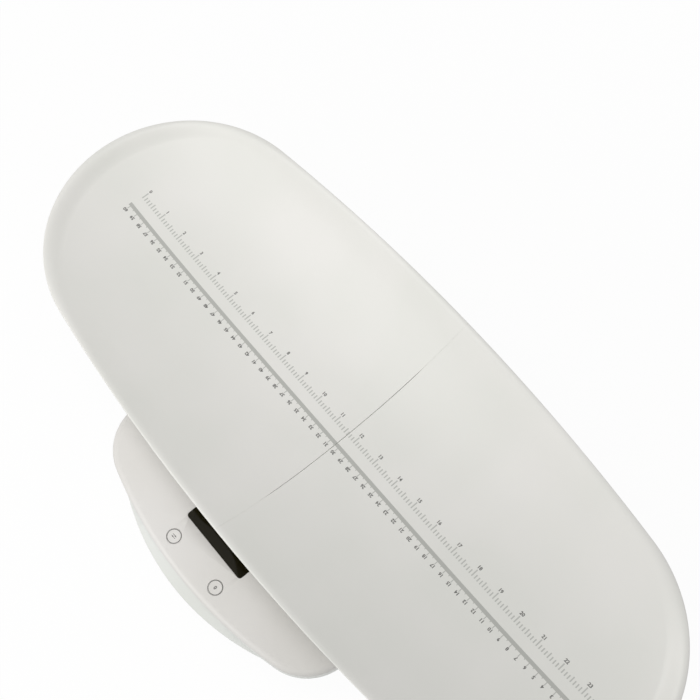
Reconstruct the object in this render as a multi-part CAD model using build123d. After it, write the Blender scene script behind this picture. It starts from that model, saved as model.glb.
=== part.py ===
from build123d import *
import math
import os

import numpy as np

# Digital baby scale. Millimetres, +Z up. The operator stands on the -Y side, +X is to the right.
# The origin is at floor level, under the middle of the whole footprint.

# ---- Tray: an oval dish in two halves that meet in the plane X = 0
tray_length = 700.0
tray_width = 282.0
tray_end_radius = 127.0        # each end of the outline is part of a circle
tray_depth = 41.0              # rim top above the lowest point of the dish
tray_wall = 3.0
rim_width = 2.6                # flat top of the rim
rim_height = 3.6               # outer edge of the rim
end_wall_angle = 42.0          # slope of the end walls from horizontal, in degrees
lengthwise_rise = ((200.0, 5.3), (330.0, 30.5))               # distance from the seam, rise
crosswise_rise = ((60.0, 6.1), (100.0, 19.3), (138.4, 40.4))  # distance from the middle, rise
lengthwise_points = 17         # of the grid that the dish's surface is fitted to
crosswise_points = 13
tray_gap = 3.0                 # between the platform and the dish at its lowest point
joint_flange = 3.0             # thickness of each half's end flange
flange_depth = 12.0
flange_reach = 104.0           # half length of the flange across the dish
stiffener_reach = 250.0        # from the seam
stiffener_depth = 8.0
stiffener_thickness = 2.4
stiffener_y = 36.0
joint_screw_ys = (62.0, 92.0)
joint_screw_drop = 5.5         # screw axis below the outside of the dish
joint_boss_length = 6.0
joint_boss_radius = 3.4
joint_shank = 1.3
joint_head_radius = 2.8
joint_head = 2.0
screw_fit = 0.05               # between a shank and its hole
screw_end_room = 1.0           # between a screw's end and the bottom of its hole

# ---- Tray legs and the sockets they stand in
leg_x = 95.0
leg_y = 66.0
leg_length = 36.0
leg_width = 22.0
leg_corner = 5.0
leg_wall = 2.4
socket_depth = 3.0
socket_clearance = 0.3
socket_wall = 2.6
socket_pad_thickness = 1.5

# ---- Base: platform (top cover) over a tub (lower housing)
base_width = 300.0
base_depth = 320.0
base_front = 186.0             # from the tray's centre line to the front edge
base_height = 40.0
front_bow = 412.0              # radius of the front and rear edges
side_bow = 1004.0              # radius of the sides
base_corner = 49.0
edge_round = 5.6               # rounding of the platform's edge
cover_edge = 6.4               # height of the cover's visible edge
cover_wall = 2.8
shell_wall = 2.5
lip_height = 3.0
lip_wall = 1.6
lip_clearance = 0.2
floor_gap = 6.0                # underside of the housing above the surface it stands on
underside_chamfer = 6.0
bulge_reach = 196.3            # from the tray's centre line to the front of the bulged skirt
bulge_radius = 235.0
bulge_slope = 11.3             # how far the skirt runs back up to the parting line
bulge_foot = 12.0              # height at which the bulge reaches furthest
bulge_half_width = 110.0
bulge_round = 5.0              # rounding where the skirt turns under
rib_pitch = 30.0
rib_thickness = 1.8
rib_depth = 9.0
rib_setback = 4.0              # from the circuit board's rear edge to the first rib

# ---- Display and keys
lens_length = 73.0
lens_width = 28.0
lens_thickness = 2.0
lens_corner = 3.0
lens_clearance = 0.1
lens_ledge = 1.6
display_front = 149.0          # from the tray's centre line to the window's front edge
gasket_thickness = 0.5
gasket_width = 2.0
glass_length = 68.0
glass_width = 26.0
glass_thickness = 2.6
backlight_thickness = 2.5
strip_width = 2.0
strip_margin = 2.0             # at each end of the contact strip
backlight_margin = 1.0
holder_wall = 1.6
holder_clearance = 0.2
key_x = 28.5
key_line = 168.5               # from the tray's centre line to the keys
key_radius = 6.5
key_gap = 0.25
key_flange = 1.7
key_flange_thickness = 1.2
key_stem_radius = 2.5
key_stem = 0.6
key_travel = 0.6
guide_wall = 1.4
guide_depth = 3.0
switch_side = 6.0
switch_height = 2.8
plunger_radius = 1.6
plunger_gap = 0.1

# ---- Circuit board
board_length = 100.0
board_width = 62.0
board_thickness = 1.6
board_setback = 10.0           # from the base's front edge
board_screw_inset = 4.0
board_boss_radius = 3.2
board_shank = 1.2
board_head_radius = 2.6
board_head = 1.6
chip_side = 12.0
chip_height = 1.6
connector_pitch = 18.0
connector_length = 7.5
connector_width = 6.0
connector_height = 6.0
connector_inset = 6.0
connector_count = 5

# ---- Housing screws
end_screw_x = 62.0
front_screw_inset = 22.0       # from the base's front edge
rear_screw_inset = 18.0
side_screw_inset = 14.0        # from the base's side, at the middle of its depth
tower_radius = 5.2
cover_boss_radius = 4.4
tower_top = 24.0
screw_seat = 17.0              # height that the screw heads bear on
head_clearance = 0.4
housing_shank = 1.55
housing_head_radius = 3.4
housing_head = 2.0

# ---- Load cells and feet, one set at each corner
foot_inset_x = 46.0            # from the base's edges to a foot's axis
foot_inset_y = 52.0
cell_side = 34.0
cell_thickness = 2.4
cell_slot = 2.0
cell_tongue = 12.0
cell_border = 4.0
gauge_length = 8.0             # strain gauge under its cap of sealant
gauge_width = 6.0
gauge_height = 2.4
pocket_side = 38.0
pocket_wall = 2.0
pocket_top = 14.6
pocket_ceiling = 2.0
foot_radius = 13.0
foot_flange = 1.5
foot_flange_thickness = 1.8
foot_boss_radius = 4.0
foot_clearance = 0.6
foot_play = 0.2                # between the foot's flange and the frame that keeps it
foot_pad_thickness = 2.5
foot_pad_radius = 12.0
retainer_plate = 1.2
retainer_clearance = 0.2
retainer_corner = 4.0
flange_room = 0.3              # round the foot's flange inside the frame
retainer_ear = 7.0
retainer_screw_x = 22.0
retainer_shank = 1.1
retainer_head_radius = 2.2
retainer_head = 0.8

# ---- Battery bay and cover
bay_setback = 90.0             # from the base's rear edge to the bay's middle
battery_radius = 5.25
battery_length = 44.5
battery_nub_radius = 1.9
battery_nub = 1.0
battery_pitch = 11.0
battery_count = 4
bay_length = 53.0
bay_width = 44.6
bay_ceiling = 20.0
bay_wall = 1.6
contact_thickness = 0.4
contact_gap = 0.6              # between the two plates of one end
contact_margin = 1.0           # the plates start this far above the batteries' lowest line
tab_width = 5.0
tab_height = 3.0
tab_fit = 0.05
cover_length = 62.0
cover_width = 54.0
battery_cover_thickness = 2.0
cover_clearance = 0.3
hinge_radius = 2.0
hinge_pin_radius = 1.0
hinge_pin_length = 2.4
hinge_fit = 0.06
bay_block_height = 12.0
bay_block_margin = 6.0
latch_width = 10.0
latch_thickness = 1.2
latch_height = 3.2
latch_room = 1.5               # behind the latch, for it to bend into
finger_length = 16.0           # recess for a fingertip, half in the cover and half in the housing
finger_width = 14.0
finger_depth = 1.2
finger_corner = 3.0
spring_wire = 0.35
spring_base = 4.2              # radius of the spring's wide end
spring_tip = 2.4
spring_turns = 4.5

# ---- Leads, which lie on the housing's floor
lead_radius = 1.0              # three cores in a sleeve
power_lead_radius = 0.8
power_lead_spacing = 3.2       # between the two battery leads at their socket
lead_lift = 0.05               # above the floor
lead_over_wall = 0.8           # above the pocket's ceiling
gauge_lead_run = (4.0, 10.0)   # from the gauge's cap: level, then up to the pocket's wall
lead_past_wall = (2.0, 15.0)   # beyond the wall: where the lead turns down, and where it lands
socket_bends = ((11.0, 0.0), (3.0, 0.24), (0.0, 0.6), (0.0, 1.0))   # short of the socket, share of the rise
lead_bend_share = 0.45         # of the shorter run, taken up by each arc
rear_lead_bends = ((57.0, 104.0), (50.0, 93.0), (47.0, 72.0), (46.0, 44.0), (42.0, 14.0), (33.0, -16.0),
                   (23.0, -44.0), (18.5, -66.0))               # from the base's middle
battery_lead_drop = ((4.5, 0.0, 1.2), (9.5, -2.5, 3.6), (13.3, -11.0, 8.6))     # from the contact's tab
battery_lead_foot = (41.2, 44.0, 1.6)                          # its height is above the floor's run
battery_lead_bends = ((40.8, 31.0), (35.0, 8.0), (21.0, -22.0), (8.0, -50.0), (2.4, -68.0))

# ---- Worked out from the sizes above
half_length, half_width = tray_length / 2, tray_width / 2
tray_y = (bulge_reach - half_width) / 2
front_y = tray_y - base_front
rear_y = front_y + base_depth
base_y = (front_y + rear_y) / 2
bulge_y = tray_y - bulge_reach + bulge_radius
dish_z = base_height + tray_gap + tray_wall
rim_z = dish_z + tray_depth
parting_z = base_height - cover_edge
cover_under = base_height - cover_wall
end_centre = half_length - tray_end_radius
end_bulge = half_width - tray_end_radius
side_radius = (end_centre ** 2 + half_width ** 2 - tray_end_radius ** 2) / (2 * end_bulge)
socket_floor = base_height - socket_depth
lens_bottom = base_height - lens_thickness
lens_y = tray_y - display_front + lens_width / 2
key_y = tray_y - key_line
glass_top = cover_under - gasket_thickness
board_top = glass_top - glass_thickness - backlight_thickness
board_under = board_top - board_thickness
board_y = front_y + board_setback + board_width / 2
rib_front_y = board_y + board_width / 2 + rib_setback
connector_y = board_y + board_width / 2 - connector_inset
housing_floor = floor_gap + shell_wall
bay_middle = rear_y - bay_setback
hinge_y = bay_middle + cover_width / 2 - hinge_radius
hinge_z = floor_gap + hinge_radius
tab_top = bay_ceiling + bay_wall + tab_height
foot_x = base_width / 2 - foot_inset_x
corners = {
    "front_left": (-foot_x, front_y + foot_inset_y),
    "front_right": (foot_x, front_y + foot_inset_y),
    "rear_left": (-foot_x, rear_y - foot_inset_y),
    "rear_right": (foot_x, rear_y - foot_inset_y),
}
beyond = 20.0                  # how far cutting shapes run past what they cut


def box(x0, x1, y0, y1, z0, z1):
    """A box between two corners."""
    return Pos((x0 + x1) / 2, (y0 + y1) / 2, (z0 + z1) / 2) * Box(x1 - x0, y1 - y0, z1 - z0)


def block(x, y, length, width, z0, z1):
    """A box centred on a point in plan."""
    return box(x - length / 2, x + length / 2, y - width / 2, y + width / 2, z0, z1)


def post(x, y, radius, z0, z1):
    """An upright cylinder."""
    return Pos(x, y, (z0 + z1) / 2) * Cylinder(radius, z1 - z0)


def bar(x0, x1, y, z, radius):
    """A cylinder along X."""
    return Pos((x0 + x1) / 2, y, z) * Rot(0, 90, 0) * Cylinder(radius, x1 - x0)


def rounded_block(x, y, length, width, corner, z0, z1):
    """An upright prism with rounded corners."""
    return Pos(x, y, z0) * extrude(RectangleRounded(length, width, corner), z1 - z0)


def pair(x):
    """Left and right."""
    return (-x, x)


def combine(first, others):
    """The union of several shapes."""
    whole = first
    for other in others:
        whole = whole + other
    return whole


def solids_of(shapes):
    """Separate shapes as one compound of their solids."""
    return Compound([solid for shape in shapes for solid in shape.solids()])


# ---- Outlines in plan
def arc_face(points, z):
    """A face bounded by arcs, given as start, middle, end points."""
    edges = [Edge.make_three_point_arc(*[Vector(x, y, z) for x, y in arc]) for arc in points]
    return Face(Wire(edges))


def tray_outline(inset, z):
    """The dish's oval: two end arcs and two side arcs, all tangent, moved inwards by inset."""
    end, side = tray_end_radius - inset, side_radius - inset
    side_y = side_radius - half_width
    slope = math.atan2(side_y, end_centre)
    reach, rise = end * math.cos(slope), end * math.sin(slope)
    right = [(end_centre + reach, -rise), (end_centre + end, 0), (end_centre + reach, rise)]
    left = [(-x, -y) for x, y in right]
    top = [right[2], (0, side - side_y), left[0]]
    bottom = [(-x, -y) for x, y in top]
    arcs = [[(x, tray_y + y) for x, y in arc] for arc in (right, top, left, bottom)]
    return arc_face(arcs, z)


def corner_centre():
    """Centre of the base's corner arc, tangent to the side and rear arcs."""
    side, rear = side_bow - base_corner, front_bow - base_corner
    side_x, bow_y = base_width / 2 - side_bow, base_depth / 2 - front_bow
    apart = math.hypot(side_x, bow_y)
    along = (side ** 2 - rear ** 2 + apart ** 2) / (2 * apart)
    across = math.sqrt(side ** 2 - along ** 2)
    ux, uy = -side_x / apart, bow_y / apart
    return side_x + along * ux - across * uy, along * uy + across * ux


def base_outline(inset, z):
    """The base's bowed rectangle: four long arcs joined by corner arcs, moved inwards by inset."""
    cx, cy = corner_centre()
    radius = base_corner - inset
    side_x, bow_y = base_width / 2 - side_bow, base_depth / 2 - front_bow
    to_side, to_rear = math.atan2(cy, cx - side_x), math.atan2(cy - bow_y, cx)
    middle = (to_side + to_rear) / 2
    corner = [(cx + radius * math.cos(t), cy + radius * math.sin(t)) for t in (to_side, middle, to_rear)]
    quadrants = []
    for sx, sy in ((1, 1), (-1, 1), (-1, -1), (1, -1)):
        arc = [(sx * x, sy * y) for x, y in corner]
        quadrants.append(arc if sx == sy else arc[::-1])
    bows = [(0, base_depth / 2 - inset), (inset - base_width / 2, 0)]
    bows += [(-x, -y) for x, y in bows]
    arcs = []
    for i, arc in enumerate(quadrants):
        following = quadrants[(i + 1) % 4]
        arcs += [arc, [arc[2], bows[i], following[0]]]
    return arc_face([[(x, base_y + y) for x, y in arc] for arc in arcs], z)


def prism(face, height):
    """An upright solid on a horizontal face."""
    return extrude(face, height, dir=(0, 0, 1))


# ---- The dish's curved bottom
def even_curve(stations):
    """Coefficients of d^2, d^4, ... for a curve level at zero that passes through the stations."""
    powers = [[d ** (2 * k) for k in range(1, len(stations) + 1)] for d, _ in stations]
    return np.linalg.solve(np.array(powers), np.array([rise for _, rise in stations]))


def even_height(coefficients, d):
    """Height and slope of an even curve at d."""
    height = sum(c * d ** (2 * k) for k, c in enumerate(coefficients, 1))
    slope = sum(2 * k * c * d ** (2 * k - 1) for k, c in enumerate(coefficients, 1))
    return height, slope


along_curve, across_curve = even_curve(lengthwise_rise), even_curve(crosswise_rise)


def dish_height(x, y, below=0.0):
    """Height of the dish's inside at a point, or of a parallel surface below it."""
    rise_x, slope_x = even_height(along_curve, x)
    rise_y, slope_y = even_height(across_curve, y)
    return dish_z + rise_x + rise_y - below * math.sqrt(1 + slope_x ** 2 + slope_y ** 2)


def above_dish(below=0.0):
    """Everything over the dish's curved surface, or over one parallel to it."""
    xs = np.linspace(-half_length - beyond, half_length + beyond, lengthwise_points)
    ys = np.linspace(-half_width - beyond / 2, half_width + beyond / 2, crosswise_points)
    points = [[Vector(x, tray_y + y, dish_height(x, y, below)) for y in ys] for x in xs]
    surface = Face.make_surface_from_array_of_points(points)
    return Solid.extrude(surface, Vector(0, 0, rim_z + beyond))


def cup(inset, top, straight):
    """A solid with the dish's outline, straight above a height and sloping inwards below it."""
    fall = tray_depth + tray_wall
    run = fall / math.tan(math.radians(end_wall_angle))
    sloped = loft([tray_outline(inset + run, top - fall), tray_outline(inset, top)], ruled=True)
    return sloped + prism(tray_outline(inset, top), straight)


def half_space(side, solid):
    """The part of a solid on one side of the seam."""
    reach = half_length + beyond
    x0, x1 = (0, reach) if side > 0 else (-reach, 0)
    return solid & box(x0, x1, tray_y - half_width - beyond, tray_y + half_width + beyond, 0, rim_z + beyond)


def make_tray_halves():
    """The two halves of the dish, each with rim, flange, stiffeners and two hollow legs."""
    over_outside = above_dish(tray_wall)
    angle = math.radians(end_wall_angle)
    wall_inset = max(0, rim_width + rim_height / math.tan(angle) - tray_wall / math.sin(angle))
    outer = over_outside & cup(wall_inset, rim_z - rim_height, rim_height)
    inner = above_dish() & cup(rim_width, rim_z, beyond)
    rim = prism(tray_outline(0, rim_z - rim_height), rim_height)
    rim -= prism(tray_outline(rim_width, rim_z - rim_height), rim_height)
    shell = (outer - inner) + (rim - inner)
    under = base_height + socket_clearance
    halves = {}
    over_flange = above_dish(tray_wall + flange_depth)
    over_stiffener = above_dish(tray_wall + stiffener_depth)
    for side, name in ((-1, "tray_left_half"), (1, "tray_right_half")):
        half = half_space(side, shell)
        low, high = sorted((0, side * joint_flange))
        flange = box(low, high, tray_y - flange_reach, tray_y + flange_reach, under, rim_z) & over_flange
        half += flange - over_outside
        start, stop = sorted((side * joint_flange, side * stiffener_reach))
        for y in pair(stiffener_y):
            near, far = tray_y + y - stiffener_thickness / 2, tray_y + y + stiffener_thickness / 2
            rib = box(start, stop, near, far, under, rim_z) & over_stiffener
            half += rib - over_outside
        for y in pair(leg_y):
            place = (side * leg_x, tray_y + y)
            bottom = socket_floor + socket_pad_thickness
            leg = rounded_block(*place, leg_length, leg_width, leg_corner, bottom, rim_z)
            leg -= rounded_block(*place, leg_length - 2 * leg_wall, leg_width - 2 * leg_wall,
                                 leg_corner - leg_wall, bottom, rim_z)
            half += leg - over_outside
        for y, z in joint_screw_places():
            if side > 0:
                half += bar(joint_flange, joint_flange + joint_boss_length, y, z, joint_boss_radius)
                half -= bar(0, joint_flange + joint_boss_length, y, z, joint_shank + screw_fit)
            else:
                half -= bar(-joint_flange, 0, y, z, joint_shank + screw_fit)
        halves[name] = half
    return halves


def joint_screw_places():
    """Height and place of each screw through the two flanges."""
    return [(tray_y + y, dish_height(0, y, tray_wall) - joint_screw_drop)
            for offset in joint_screw_ys for y in pair(offset)]


def make_joint_screws():
    """Pan-head screws along X from the left flange into the right half's bosses."""
    screws = []
    for y, z in joint_screw_places():
        shank = bar(-joint_flange, joint_flange + joint_boss_length - screw_end_room, y, z, joint_shank)
        head = bar(-joint_flange - joint_head, -joint_flange, y, z, joint_head_radius)
        screws.append(shank + head)
    return solids_of(screws)


# ---- Base shell
def screw_places():
    """Places of the six housing screws."""
    right = ((end_screw_x, front_y + front_screw_inset), (base_width / 2 - side_screw_inset, base_y),
             (end_screw_x, rear_y - rear_screw_inset))
    return [(x, y) for right_x, y in right for x in pair(right_x)]


def socket_places():
    """Places of the four leg sockets."""
    return [(x, tray_y + y) for x in pair(leg_x) for y in pair(leg_y)]


def board_screw_places():
    """Places of the four screws that hold the circuit board."""
    dx, dy = board_length / 2 - board_screw_inset, board_width / 2 - board_screw_inset
    return [(x, board_y + y) for x in pair(dx) for y in pair(dy)]


def ribs_under(z0, z1):
    """The cover's grid of stiffening ribs, behind the room for the electronics."""
    half_count, rows = int(base_width / 2 / rib_pitch), int((rear_y - rib_front_y) / rib_pitch)
    ribs = []
    for i in range(-half_count, half_count + 1):
        middle = i * rib_pitch
        ribs.append(box(middle - rib_thickness / 2, middle + rib_thickness / 2, rib_front_y, rear_y, z0, z1))
    for i in range(rows + 1):
        ribs.append(block(0, rib_front_y + i * rib_pitch, base_width, rib_thickness, z0, z1))
    return combine(ribs[0], ribs[1:])


def make_top_cover():
    """Platform with rounded edge, lip, ribs, leg sockets, display opening, key holes and bosses."""
    slab = prism(base_outline(0, parting_z), cover_edge)
    cover = fillet(slab.edges().group_by(Axis.Z)[-1], edge_round)
    lip_inset = shell_wall + lip_clearance
    cover += prism(base_outline(lip_inset, parting_z - lip_height), lip_height + cover_edge - cover_wall)
    hollow_inset = lip_inset + lip_wall
    cover -= prism(base_outline(hollow_inset, parting_z - lip_height), cover_under - parting_z + lip_height)
    inside = prism(base_outline(hollow_inset, cover_under - rib_depth), rib_depth)
    cover += ribs_under(cover_under - rib_depth, cover_under) & inside
    length, width = leg_length + 2 * socket_clearance, leg_width + 2 * socket_clearance
    corner = leg_corner + socket_clearance
    for x, y in socket_places():
        cover += rounded_block(x, y, length + 2 * socket_wall, width + 2 * socket_wall, corner + socket_wall,
                               socket_floor - socket_wall, cover_under)
    for x, y in socket_places():
        cover -= rounded_block(x, y, length, width, corner, socket_floor, base_height)
    cover -= rounded_block(0, lens_y, lens_length + 2 * lens_clearance, lens_width + 2 * lens_clearance,
                           lens_corner, lens_bottom, base_height)
    cover -= block(0, lens_y, lens_length - 2 * lens_ledge, lens_width - 2 * lens_ledge,
                   cover_under, base_height)
    inner = key_radius + key_flange + key_gap
    for x in pair(key_x):
        cover += post(x, key_y, inner + guide_wall, cover_under - guide_depth, cover_under)
        cover -= post(x, key_y, inner, cover_under - guide_depth, cover_under)
        cover -= post(x, key_y, key_radius + key_gap, cover_under, base_height)
    for x, y in screw_places():
        cover += post(x, y, cover_boss_radius, tower_top, cover_under)
        cover -= post(x, y, housing_shank + screw_fit, tower_top, cover_under - cover_wall)
    for x, y in board_screw_places():
        cover += post(x, y, board_boss_radius, board_top, cover_under)
        cover -= post(x, y, board_shank + screw_fit, board_top, cover_under - screw_end_room)
    return cover


def bulge(wall):
    """The front skirt's bulge, a shallow cone whose wall leans back, moved inwards by wall."""
    low, high = floor_gap + wall, parting_z
    outermost, radius = bulge_foot, bulge_radius - wall
    foot = Solid.make_cone(radius - underside_chamfer, radius, outermost - low, Plane((0, bulge_y, low)))
    skirt = Solid.make_cone(radius, radius - bulge_slope, high - outermost, Plane((0, bulge_y, outermost)))
    cone = Part() + foot + skirt
    cone = fillet(cone.edges().filter_by(GeomType.CIRCLE).group_by(Axis.Z)[1], bulge_round)
    front = box(-bulge_half_width, bulge_half_width, bulge_y - bulge_radius - beyond,
                front_y + base_corner, low, high)
    return cone & front


def make_lower_housing():
    """Tub with bulged front, load-cell pockets, battery bay and screw towers."""
    tub = prism(base_outline(0, floor_gap), parting_z - floor_gap)
    tub = chamfer(tub.edges().group_by(Axis.Z)[0], underside_chamfer)
    tub += bulge(0)
    cavity = prism(base_outline(shell_wall, housing_floor), parting_z - housing_floor)
    cavity = chamfer(cavity.edges().group_by(Axis.Z)[0], underside_chamfer - shell_wall)
    tub -= cavity + bulge(shell_wall)
    pocket_outer = pocket_side + 2 * pocket_wall
    for x, y in corners.values():
        tub += block(x, y, pocket_outer, pocket_outer, floor_gap, pocket_top + pocket_ceiling)
        for ear_x in pair(retainer_screw_x):
            tub += block(x + ear_x, y, retainer_ear, retainer_ear, floor_gap, pocket_top)
    for x, y in corners.values():
        tub -= block(x, y, pocket_side, pocket_side, floor_gap, pocket_top)
        opening = cell_side - 2 * cell_border
        tub -= block(x, y, opening, opening, pocket_top, pocket_top + pocket_ceiling)
        ear_length = 2 * retainer_screw_x + retainer_ear
        tub -= block(x, y, ear_length + 2 * retainer_clearance, retainer_ear + 2 * retainer_clearance,
                     floor_gap, floor_gap + retainer_plate)
        for ear_x in pair(retainer_screw_x):
            tub -= post(x + ear_x, y, retainer_shank + screw_fit, floor_gap, pocket_top - screw_end_room)
    for x, y in screw_places():
        tub += post(x, y, tower_radius, floor_gap, tower_top)
    for x, y in screw_places():
        tub -= post(x, y, housing_head_radius + head_clearance, floor_gap, screw_seat)
        tub -= post(x, y, housing_shank + 2 * screw_fit, screw_seat, tower_top)
    return tub + bay_block() - bay_hollow()


def bay_block():
    """The battery bay's walls and the thick frame that the cover lies in."""
    frame = block(0, bay_middle, cover_length + 2 * bay_block_margin, cover_width + 2 * bay_block_margin,
                  floor_gap, bay_block_height)
    return frame + block(0, bay_middle, bay_length + 2 * bay_wall, bay_width + 2 * bay_wall,
                         floor_gap, bay_ceiling + bay_wall)


def bay_hollow():
    """The batteries' space, the cover's opening, the hinge channel, its pin holes and contact slots."""
    hollow = block(0, bay_middle, bay_length, bay_width, floor_gap, bay_ceiling)
    hollow += block(0, bay_middle, cover_length + 2 * cover_clearance, cover_width + 2 * cover_clearance,
                    floor_gap, floor_gap + battery_cover_thickness)
    reach = cover_length / 2 + cover_clearance
    gap = hinge_radius + cover_clearance
    hollow += box(-reach, reach, hinge_y - gap, hinge_y + gap, floor_gap, hinge_z + gap)
    pin = cover_length / 2 + hinge_pin_length + cover_clearance
    hollow += bar(-pin, pin, hinge_y, hinge_z, hinge_pin_radius + hinge_fit)
    for x in pair(bay_length / 2 - contact_thickness / 2):
        hollow += block(x, bay_middle - tab_width, contact_thickness + 2 * tab_fit, tab_width + 2 * tab_fit,
                        bay_ceiling, bay_ceiling + bay_wall)
    front = bay_middle - cover_width / 2
    hollow += box(-latch_width / 2 - cover_clearance, latch_width / 2 + cover_clearance,
                  front - cover_clearance, front + latch_thickness + latch_room, floor_gap, bay_block_height)
    return hollow + finger_recess()


def finger_recess():
    """Shallow recess under the cover's front edge."""
    return rounded_block(0, bay_middle - cover_width / 2, finger_length, finger_width, finger_corner,
                         floor_gap, floor_gap + finger_depth)


def make_housing_screws():
    """Screws from below, their heads on the seats inside the towers."""
    screws = []
    for x, y in screw_places():
        shank = post(x, y, housing_shank, screw_seat, cover_under - cover_wall - screw_end_room)
        screws.append(shank + post(x, y, housing_head_radius, screw_seat - housing_head, screw_seat))
    return solids_of(screws)


def make_socket_pads():
    """Soft pads on the socket floors."""
    return solids_of([rounded_block(x, y, leg_length, leg_width, leg_corner, socket_floor,
                                    socket_floor + socket_pad_thickness) for x, y in socket_places()])


# ---- Display, board and keys
def make_display():
    """Window, gasket, glass, backlight, contact strip and the frame round them."""
    glass_bottom = glass_top - glass_thickness
    lens = rounded_block(0, lens_y, lens_length, lens_width, lens_corner - lens_clearance,
                         lens_bottom, base_height)
    gasket = block(0, lens_y, glass_length, glass_width, glass_top, cover_under)
    gasket -= block(0, lens_y, glass_length - 2 * gasket_width, glass_width - 2 * gasket_width,
                    glass_top, cover_under)
    glass = block(0, lens_y, glass_length, glass_width, glass_bottom, glass_top)
    front = lens_y - glass_width / 2
    strip_end, backlight_end = glass_length / 2 - strip_margin, glass_length / 2 - backlight_margin
    strip = box(-strip_end, strip_end, front, front + strip_width, board_top, glass_bottom)
    backlight = box(-backlight_end, backlight_end, front + strip_width + holder_clearance,
                    lens_y + glass_width / 2, board_top, glass_bottom)
    inner_length, inner_width = glass_length + 2 * holder_clearance, glass_width + 2 * holder_clearance
    holder = block(0, lens_y, inner_length + 2 * holder_wall, inner_width + 2 * holder_wall,
                   board_top, cover_under)
    holder -= block(0, lens_y, inner_length, inner_width, board_top, cover_under)
    return {"display_lens": lens, "display_gasket": gasket, "lcd_glass": glass, "lcd_backlight": backlight,
            "lcd_connector_strip": strip, "display_holder": holder}


def connector_xs():
    """Places of the five lead sockets along the board's rear edge."""
    return [(i - (connector_count - 1) / 2) * connector_pitch for i in range(connector_count)]


def make_board():
    """The circuit board with its screws, chip and lead sockets."""
    board = block(0, board_y, board_length, board_width, board_under, board_top)
    screws = []
    for x, y in board_screw_places():
        board -= post(x, y, board_shank + screw_fit, board_under, board_top)
        shank = post(x, y, board_shank, board_under, cover_under - 2 * screw_end_room)
        screws.append(shank + post(x, y, board_head_radius, board_under - board_head, board_under))
    chip = block(0, board_y, chip_side, chip_side, board_under - chip_height, board_under)
    sockets = [block(x, connector_y, connector_length, connector_width, board_under - connector_height,
                     board_under) for x in connector_xs()]
    return {"main_board": board, "board_screws": solids_of(screws), "control_chip": chip,
            "board_connectors": solids_of(sockets)}


def make_key(x):
    """A round push key, the plunger that its stem rests on, and the switch body."""
    under = cover_under - key_flange_thickness
    key = post(x, key_y, key_radius, under, base_height)
    key += post(x, key_y, key_radius + key_flange, under, cover_under)
    key += post(x, key_y, key_stem_radius, under - key_stem, under)
    plunger_top = under - key_stem
    switch_top = board_top + switch_height
    plunger_bottom = switch_top - 2 * key_travel
    plunger = post(x, key_y, plunger_radius, plunger_bottom, plunger_top)
    switch = block(x, key_y, switch_side, switch_side, board_top, switch_top)
    well = plunger_bottom - key_travel - plunger_gap
    switch -= post(x, key_y, plunger_radius + plunger_gap, well, switch_top)
    return key, plunger, switch


# ---- Load cells and feet
def make_corner(x, y):
    """A load cell with its strain gauge, foot, rubber pad and retaining frame."""
    cell_bottom = pocket_top - cell_thickness
    cell = block(x, y, cell_side, cell_side, cell_bottom, pocket_top)
    inner, tongue = cell_side - 2 * cell_border, cell_tongue
    slot = block(x, y, tongue + 2 * cell_slot, inner, cell_bottom, pocket_top)
    slot -= block(x, y + cell_slot, tongue, inner, cell_bottom, pocket_top)
    cell -= slot
    gauge = block(x, y, gauge_length, gauge_width, pocket_top, pocket_top + gauge_height)
    plate_top = floor_gap + retainer_plate
    flange_bottom = plate_top + foot_play
    flange_top = flange_bottom + foot_flange_thickness
    foot = post(x, y, foot_radius, foot_pad_thickness, flange_bottom)
    foot += post(x, y, foot_radius + foot_flange, flange_bottom, flange_top)
    foot += post(x, y, foot_boss_radius, flange_top, cell_bottom)
    pad = post(x, y, foot_pad_radius, 0, foot_pad_thickness)
    side = pocket_side - 2 * retainer_clearance
    frame = block(x, y, side, side, floor_gap, cell_bottom)
    frame += block(x, y, 2 * retainer_screw_x + retainer_ear, retainer_ear, floor_gap, plate_top)
    frame -= post(x, y, foot_radius + foot_clearance, floor_gap, plate_top)
    hollow = 2 * (foot_radius + foot_flange + flange_room)
    frame -= rounded_block(x, y, hollow, hollow, retainer_corner, plate_top, cell_bottom)
    for ear_x in pair(retainer_screw_x):
        frame -= post(x + ear_x, y, retainer_shank + screw_fit, floor_gap, plate_top)
    return {"load_cell": cell, "strain_gauge": gauge, "foot": foot, "foot_pad": pad, "foot_retainer": frame}


def make_retainer_screws():
    """Two small screws for each retaining frame."""
    screws = []
    for x, y in corners.values():
        for ear_x in pair(retainer_screw_x):
            shank = post(x + ear_x, y, retainer_shank, floor_gap, pocket_top - 2 * screw_end_room)
            head = post(x + ear_x, y, retainer_head_radius, floor_gap - retainer_head, floor_gap)
            screws.append(shank + head)
    return solids_of(screws)


# ---- Batteries
def battery_places():
    """Axis of each battery: its Y, its height and the side that its positive end faces."""
    z = floor_gap + battery_cover_thickness + cover_clearance + battery_radius
    middle = (battery_count - 1) / 2
    return [(bay_middle + (i - middle) * battery_pitch, z, 1 if i % 2 else -1) for i in range(battery_count)]


def make_batteries():
    """AAA cells side by side, alternating, each pushed against the positive contact."""
    batteries = {}
    for i, (y, z, side) in enumerate(battery_places(), 1):
        tip = side * (bay_length / 2 - contact_thickness)
        shoulder = tip - side * battery_nub
        back = tip - side * battery_length
        cell = bar(*sorted((shoulder, back)), y, z, battery_radius)
        batteries[f"battery_{i}"] = cell + bar(*sorted((shoulder, tip)), y, z, battery_nub_radius)
    return batteries


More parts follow.
